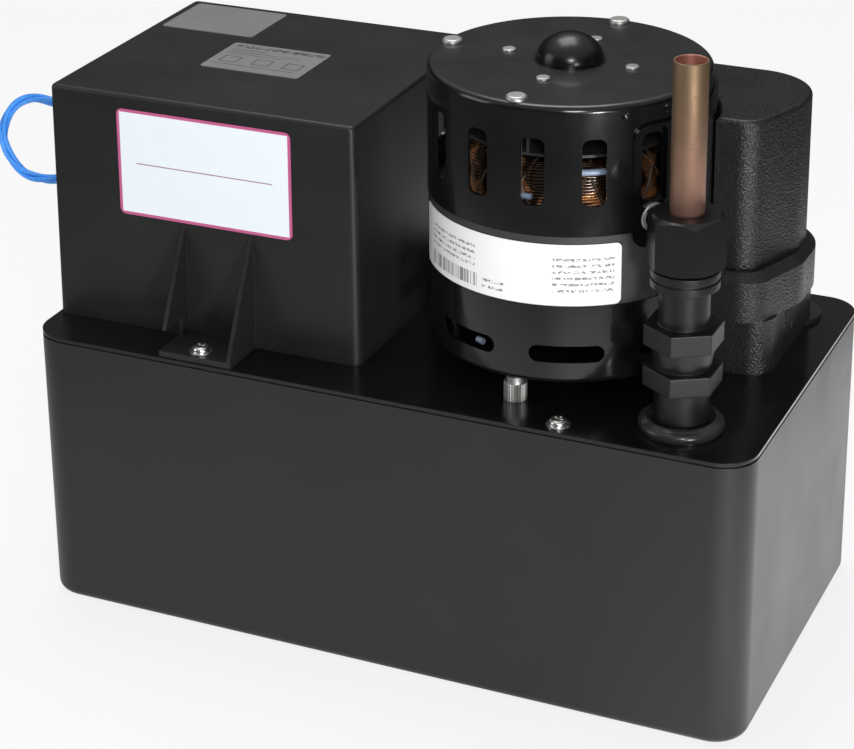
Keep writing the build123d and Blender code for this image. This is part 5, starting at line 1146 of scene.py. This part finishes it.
@dataclass
class Winding:
    """The copper end turns: hoops of wire, dark lacing and blue-grey sleeves."""

    x: float = MOTOR_X
    y: float = MOTOR_Y
    inner: float = 37.2
    outer: float = 53.2
    wire: float = 0.78
    ties: int = 22
    bulges: tuple[tuple[str, float], ...] = (("Z", 2.6), ("X", 2.0), ("Y", 2.0))
    top: tuple[float, float] = (220.6, 248.6)
    low: tuple[float, float] = (172.6, 187.0)

    def section(self, low: float, high: float) -> list[tuple[float, float]]:
        """Where the hoops' wires run through a half section.

        Args:
            low: the ring's lowest height.
            high: its highest.

        Returns:
            (radius, height) of each hoop.
        """
        corner = 6.0
        left, right = self.inner + self.wire, self.outer - self.wire
        base, roof = low + self.wire, high - self.wire
        line = [(left, base), (right, base), (right, roof - corner)]
        line += arc(right - corner, roof - corner, corner, 0.0, 90.0, 6)[1:]
        line += arc(left + corner, roof - corner, corner, 90.0, 180.0, 6)
        line.append((left, base))
        step = 2 * self.wire * 0.93
        spots = []
        need = 0.0
        for (r0, z0), (r1, z1) in zip(line, line[1:]):
            run = math.hypot(r1 - r0, z1 - z0)
            while need <= run:
                spots.append((r0 + (r1 - r0) * need / run, z0 + (z1 - z0) * need / run))
                need += step
            need -= run
        return spots

    def ring(self, name: str, low: float, high: float) -> Piece:
        """The wires of one end, pressed out of true as a wound coil is."""
        hoops = []
        for k, (radius, height) in enumerate(self.section(low, high)):
            hoops.append(BENCH.hoop(f"hoop_{k}", radius, self.wire, (self.x, self.y, height)))
        turns = BENCH.join(hoops, name)
        bulge = bpy.data.textures.new("coil_bulge", "CLOUDS")
        bulge.noise_scale = 0.012
        for axis, depth in self.bulges:
            BENCH.modify(
                turns, "DISPLACE", texture=bulge, direction=axis, strength=depth * MM, mid_level=0.5,
                texture_coords="LOCAL",
            )
        bpy.data.textures.remove(bulge)
        BENCH.smooth(turns, 80.0)
        return turns

    def lacing(self, low: float, high: float) -> Piece:
        """Cord ties round the end turns."""
        mid_r, mid_z = (self.inner + self.outer) / 2, (low + high) / 2
        half_r, half_z = (self.outer - self.inner) / 2 + 0.7, (high - low) / 2 + 0.6
        tie = BENCH.hoop("tie", 1.0, 0.08, turn=(math.pi / 2, 0, 0), steps=28, sides=6)
        with BENCH.editing(tie, "VERT"):
            bpy.ops.mesh.select_all(action="SELECT")
            bpy.ops.transform.resize(value=(half_r, 8.0, half_z))
            bpy.ops.transform.translate(value=(mid_r * MM, 0, mid_z * MM))
        moves = []
        for k in range(2 * self.ties):
            lean = math.radians(24.0 if k % 2 else -24.0)
            middle = shift(mid_r, 0, mid_z)
            tilt = middle @ Matrix.Rotation(lean, 4, "X") @ middle.inverted()
            turn = Matrix.Rotation(math.radians(k * 180 / self.ties + 2.0 * (k % 3)), 4, "Z")
            moves.append(shift(self.x, self.y, 0) @ turn @ tilt)
        return BENCH.join(BENCH.copies(tie, moves), "lacing")

    def sleeve(self, name: str, turn: float, height: float, reach: float) -> Piece:
        """A blue-grey lead sleeve that lies on the outside of the turns."""
        lead = BENCH.hoop(name, self.outer + 0.9, 1.5, (self.x, self.y, height), (0.05, 0.03, 0.0), 96, 10)

        def away(v: Any) -> bool:
            """Outside the sleeve's stretch."""
            angle = math.degrees(math.atan2(v.co.y - self.y * MM, v.co.x - self.x * MM))
            return abs((angle - turn + 180) % 360 - 180) > reach

        with BENCH.editing(lead, "VERT"):
            BENCH.pick(lead, "verts", away)
            bpy.ops.mesh.delete(type="VERT")
            mesh = bmesh.from_edit_mesh(lead.data)
            rims = [e for e in mesh.edges if e.is_boundary]
            for e in rims:
                e.select_set(True)
            bmesh.update_edit_mesh(lead.data)
            bpy.ops.mesh.edge_face_add() if len(rims) < 3 else bpy.ops.mesh.fill_holes(sides=12)
        BENCH.smooth(lead, 50.0)
        return lead


@dataclass
class Motor(Assembly):
    """The motor's shells, end turns, lacing, lead sleeves, spacers and lead bush."""

    x: float = MOTOR_X
    y: float = MOTOR_Y
    circle: float = 57.5
    start: float = -92.3
    bush: tuple[float, float] = (-35.2, 226.0)
    # The last three sleeves, 158 to 161 mm high behind the lower slots, are pale pieces that stand in for bluish
    # glints: painted highlights.
    leads: tuple[Point, ...] = (
        (-96.0, 236.5, 11.0), (-135.0, 243.0, 6.0), (-58.0, 249.0, 12.0), (-112.0, 178.0, 10.0),
        (-70.0, 181.0, 13.0), (30.0, 238.0, 16.0), (110.0, 241.0, 14.0), (-114.5, 161.2, 5.0),
        (-99.0, 160.2, 0.8), (-82.0, 158.2, 6.5),
    )
    coil: Winding = field(default_factory=Winding)

    def windings(self) -> None:
        """Copper, lacing and sleeves at both ends."""
        rings = [self.coil.ring("top_turns", *self.coil.top), self.coil.ring("low_turns", *self.coil.low)]
        self.mount(BENCH.join(rings, "end_turns"), "winding_copper", "winding", ["stator_winding"])
        ties = BENCH.join([self.coil.lacing(*self.coil.top), self.coil.lacing(*self.coil.low)], "coil_lacing")
        self.mount(ties, "lacing_cord", "winding")
        leads = [self.coil.sleeve(f"lead_{k}", *spot) for k, spot in enumerate(self.leads)]
        self.mount(BENCH.join(leads, "lead_sleeves"), "lead_sleeve", "winding")

    def spacers(self) -> None:
        """Four knurled spacers with a smooth neck."""
        ridges = 56

        def groove(v: Any) -> bool:
            """Every other point on the rim."""
            place = round(math.degrees(math.atan2(v.co.y, v.co.x)) / (360 / ridges))
            return v.co.xy.length > 5.2 * MM and place % 2 == 0

        def level(edge: Any) -> bool:
            """A level edge where two faces meet."""
            flat = abs(edge.verts[0].co.z - edge.verts[1].co.z) < 0.01 * MM
            return flat and edge.calc_face_angle(0.0) > 1.0

        body = BENCH.drum("spacer", (0, 0, 4.25), 5.25, 8.5, ridges)
        with BENCH.editing(body):
            BENCH.pick(body, "faces", lambda f: abs(f.normal.z) > 0.9)
            bpy.ops.mesh.inset(thickness=0.5 * MM, depth=0.0)
            BENCH.pick(body, "verts", groove)
            bpy.ops.transform.resize(value=(0.93, 0.93, 1.0), center_override=(0, 0, 4.25 * MM))
        BENCH.bevel(body, 0.25, 2, level)
        neck = [(2.5, 8.4), (4.3, 8.4), (4.2, 8.8), (4.2, 11.6), (4.5, 12.0), (2.5, 12.0), (2.5, 8.4)]
        piece = BENCH.join([body, BENCH.turned("neck", neck, steps=40)], "spacer")
        BENCH.smooth(piece, 20.0)
        turns = [math.radians(self.start + 90 * k) for k in range(4)]
        away = self.circle
        moves = [shift(self.x + away * math.cos(t), self.y + away * math.sin(t), LID_TOP) for t in turns]
        spacers = BENCH.join(BENCH.copies(piece, moves), "knurled_spacers")
        self.mount(spacers, "dull_zinc", "zinc", ["motor_spacers"])

    def lead_bush(self) -> None:
        """The ring that the leads leave the upper shell through."""
        rim = [
            (2.2, -0.4), (6.4, -0.4), (6.7, 0.5), (6.5, 1.5), (5.8, 2.2), (4.9, 2.2), (4.2, 1.5), (2.2, 1.2),
            (2.2, -0.4),
        ]
        piece = BENCH.turned("lead_bush", rim, steps=48)
        BENCH.smooth(piece, 50.0)
        angle, height = self.bush
        out = Matrix.Rotation(math.radians(angle), 4, "Z") @ shift(MOTOR_RADIUS, 0, 0)
        move = shift(self.x, self.y, height) @ out @ Matrix.Rotation(math.pi / 2, 4, "Y")
        bush = BENCH.join(BENCH.copies(piece, [move]), "lead_bush")
        # Pale zinc finish: its grey stands in for the bright highlights on the rim of a glossy black ring
        # (painted highlight).
        self.mount(bush, "dull_zinc", "zinc")

    def build(self) -> None:
        """Model the motor's pieces."""
        self.lead_bush()
        self.eased("motor_upper_shell", "upper_shell", 0.6, "motor_paint", "motor_paint")
        self.eased("motor_lower_shell", "lower_shell", 0.6, "motor_paint", "motor_paint")
        self.windings()
        self.spacers()


@dataclass
class DischargeLine(Assembly):
    """The ring grommet, check valve, nut and copper tube."""

    x: float = TUBE_X
    y: float = TUBE_Y
    tube_low: float = 207.0
    neck_top: float = 239.0
    tube_top: float = 305.0
    lift: float = 4.1

    def grommet(self) -> None:
        """A soft glossy ring with a groove inside its lip."""
        base = LID_TOP
        ring = [
            (12.3, base - 5.0), (18.0, base - 5.0), (18.0, base - 2.6), (14.95, base - 2.5), (14.95, base),
            (18.3, base),
        ]
        ring += arc(16.9, base + 2.0, 2.0, -40.0, 80.0, 8)
        ring += [
            (16.2, base + 4.6), (15.2, base + 5.3), (14.6, base + 5.3), (13.9, base + 4.2), (12.9, base + 3.4),
            (12.3, base + 3.2), (12.3, base - 5.0),
        ]
        piece = BENCH.turned("discharge_ring", ring, self.x, self.y, 96)
        BENCH.smooth(piece, 50.0)
        self.mount(piece, "gloss_rubber", "rubber", ["discharge_grommet"])

    def tube(self) -> None:
        """The copper tube with a cut, slightly rounded end."""
        low, neck, top = self.tube_low, self.neck_top, self.tube_top
        outline = [
            (6.5, low), (7.3, low), (7.3, neck - 0.2), (7.5, neck), (7.5, top - 0.35), (7.4, top - 0.1),
            (7.15, top), (6.75, top), (6.55, top - 0.15), (6.5, top - 0.5), (6.5, low),
        ]
        piece = BENCH.turned("copper_stub", outline, self.x, self.y, 96)
        BENCH.smooth(piece, 50.0)
        self.mount(piece, "aged_copper", "copper", ["copper_tube"])

    def spring(self) -> None:
        """The valve's spring, an eased copy with a mesh of its own."""
        piece = BENCH.lifted("check_spring", "poppet_spring", 0.05)
        self.mount(piece, "steel", "steel", ["check_spring"])
        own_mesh(piece)

    def build(self) -> None:
        """Model the line's pieces."""
        self.spring()
        self.eased("check_valve_body", "valve_body", 0.6, "fitting_plastic", "fitting_plastic", 3)
        self.eased("check_valve_cap", "valve_cap", 0.5, "fitting_plastic", "fitting_plastic", 3)
        self.eased("compression_nut", "tube_nut", 0.7, "nut_plastic", "fitting_plastic", 3)
        self.grommet()
        self.tube()


@dataclass
class CapacitorHousing(Assembly):
    """The capacitor's base and cover, and the saddle round the motor."""

    def build(self) -> None:
        """Model the housing's pieces."""
        self.eased("capacitor_cover", "capacitor_cap", 0.6, "capacitor_plastic", "capacitor_plastic", 3)
        self.eased("capacitor_base", "capacitor_tray", 0.8, "capacitor_plastic", "capacitor_plastic", 3)
        self.eased("saddle_bracket", "motor_saddle", 0.3, "motor_paint", "motor_paint")


# Stage and camera


@dataclass(frozen=True)
class Lamp:
    """A soft rectangular lamp aimed at a point. Places and sizes in metres."""

    name: str
    place: Point
    target: Point
    size: tuple[float, float]
    watts: float

    def hang(self) -> None:
        """Put the lamp in the scene, out of the camera's sight."""
        data = bpy.data.lights.new(self.name, "AREA")
        data.shape = "RECTANGLE"
        data.size, data.size_y = self.size
        data.energy = self.watts
        lamp = BENCH.stand(self.name, data)
        lamp.visible_camera = False
        lamp.location = self.place
        lamp.rotation_mode = "QUATERNION"
        lamp.rotation_quaternion = (Vector(self.target) - Vector(self.place)).to_track_quat("-Z", "Y")


@dataclass
class Studio:
    """The camera, the lamps, the floor and the backdrop. Angles in degrees, `place` in millimetres."""

    azimuth: float = 24.092
    elevation: float = 20.795
    roll: float = -0.598
    place: Point = (437.9, -1003.8, 639.2)
    focal: float = 2537.65
    sensor: float = 36.0
    middle: tuple[float, float] = (427.2, 149.95)
    frame: tuple[int, int] = (854, 749)
    horizon: float = 0.03
    zenith: float = 0.5
    # The floor's glow in reflections, far, near and extra to the right: painted reflection.
    reflected_glow_far: float = 0.04
    paper: float = 0.72
    reflected_glow_right: float = 1.15
    fall: tuple[float, float] = (330.0, 640.0)
    seen_share: float = 0.8
    mirrored_share: float = 0.92
    lamps: tuple[Lamp, ...] = (
        Lamp("key", (0.66, -1.30, 0.86), (0.0, 0.0, 0.15), (0.32, 0.32), 9.0),
        Lamp("top", (-0.25, 0.45, 1.7), (0.0, 0.0, 0.2), (0.9, 0.9), 13.0),
        Lamp("left", (-1.4, -0.9, 0.7), (-0.1, 0.0, 0.12), (0.8, 0.9), 5.0),
        Lamp("right", (0.98, -1.02, 0.15), (0.12, 0.0, 0.15), (0.2, 0.26), 10.0),
    )

    def camera(self) -> None:
        """Stand the camera where the photograph was taken."""
        az, el, roll = (math.radians(a) for a in (self.azimuth, self.elevation, self.roll))
        back = Vector((math.sin(az) * math.cos(el), -math.cos(az) * math.cos(el), math.sin(el)))
        right = (-back).cross(Vector((0, 0, 1))).normalized()
        up = right.cross(-back)
        across = right * math.cos(roll) + up * math.sin(roll)
        upward = up * math.cos(roll) - right * math.sin(roll)
        data = bpy.data.cameras.new("camera")
        data.sensor_width = self.sensor
        data.lens = self.focal * self.sensor / self.frame[0]
        data.shift_x = (self.frame[0] / 2 - self.middle[0]) / self.frame[0]
        data.shift_y = (self.middle[1] - self.frame[1] / 2) / self.frame[0]
        data.clip_start = 0.05
        data.clip_end = 30.0
        camera = BENCH.stand("camera", data)
        turn = Matrix((across, upward, back)).transposed().to_4x4()
        camera.matrix_world = Matrix.Translation(Vector(self.place) * MM) @ turn
        bpy.context.scene.camera = camera

    def lights(self) -> None:
        """A high lamp in front, soft ones behind and at the sides, and a dim surround."""
        for lamp in self.lamps:
            lamp.hang()
        scene = bpy.context.scene
        scene.world = self.surround()
        scene.view_settings.view_transform = "Standard"

    def surround(self) -> bpy.types.World:
        """A room that is dark round the horizon and pale overhead, and white where the camera sees it.

        Returns:
            The world.
        """
        world = bpy.data.worlds.new("surround")
        world.use_nodes = True
        world.node_tree.nodes.clear()
        mix = Recipe.on_tree(world.node_tree)
        _, _, up = mix.axes(mix.node("ShaderNodeTexCoord", "Generated"))
        sky = mix.step(up, 0.25, 0.85, self.horizon, self.zenith)
        shine = mix.node("ShaderNodeBackground", Color=(1.0, 1.0, 1.0), Strength=sky)
        seen = mix.node("ShaderNodeBackground", Color=(1.0, 1.0, 1.0), Strength=1.0)
        camera = mix.node("ShaderNodeLightPath", "Is Camera Ray")
        both = mix.node("ShaderNodeMixShader", _0=camera, _1=shine, _2=seen)
        output = mix.tree.nodes.new("ShaderNodeOutputWorld")
        mix.tree.links.new(both.socket, output.inputs["Surface"])
        return world

    def floor(self) -> None:
        """White paper to the camera; in reflections a glowing floor, bright near the object and brighter to its
        right, that falls off into the dark further out: a painted reflection.
        """
        BENCH.clear()
        bpy.ops.mesh.primitive_plane_add(size=8.0, location=(0, 0, -0.0004))
        ground = BENCH.take("floor")
        mix = Recipe("floor_paper")
        fibre = mix.noise(3.0, 4.0, 0.6)
        mix.bump(fibre, 0.02, 0.2)
        mix.paint(mix.blend(fibre * 0.3, (0.86, 0.86, 0.86), (0.83, 0.83, 0.83)), 0.85)
        x, y, _ = mix.axes()
        # Painted reflection: the glow seen by glossy and transmission rays is strong near the object, stronger
        # to its right and faint beyond the fall radii.
        near = mix.step((x * x + y * y) ** 0.5, *self.fall, 1.0, 0.0)
        side = mix.step(x, 60.0, 260.0)
        paper = self.reflected_glow_far + near * (self.paper + side * self.reflected_glow_right)
        light = mix.node("ShaderNodeLightPath", "Is Camera Ray")
        mirror = Wire(mix, light.socket.node.outputs["Is Glossy Ray"])
        through = Wire(mix, light.socket.node.outputs["Is Transmission Ray"])
        glow = light + (1.0 - light) * paper
        white = mix.node("ShaderNodeEmission", Color=(1.0, 1.0, 1.0), Strength=glow)
        share = light * self.seen_share + (mirror + through) * self.mirrored_share
        shader = Wire(mix, mix.shader.outputs["BSDF"])
        both = mix.node("ShaderNodeMixShader", _0=share, _1=shader, _2=white)
        mix.tree.links.new(both.socket, mix.tree.nodes["Material Output"].inputs["Surface"])
        ground.data.materials.append(mix.material)


def main() -> None:
    """Build every class in order."""
    logging.basicConfig(level=logging.INFO, format="%(message)s")
    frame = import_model()
    BENCH.nodes = frame["nodes"]
    BENCH.clear()
    studio = Studio()
    studio.camera()
    wires = AlarmWires().build()
    shop = Shop()
    shop.dress(wires, "blue_sheath")
    for finish, nodes in NODES_BY_FINISH.items():
        for node in nodes:
            shop.dress(frame["nodes"][node], finish)
    for assembly in (TankSide, ControlBox, Motor, DischargeLine, CapacitorHousing):
        assembly(shop).build()
    studio.lights()
    studio.floor()


if __name__ == "__main__":
    main()
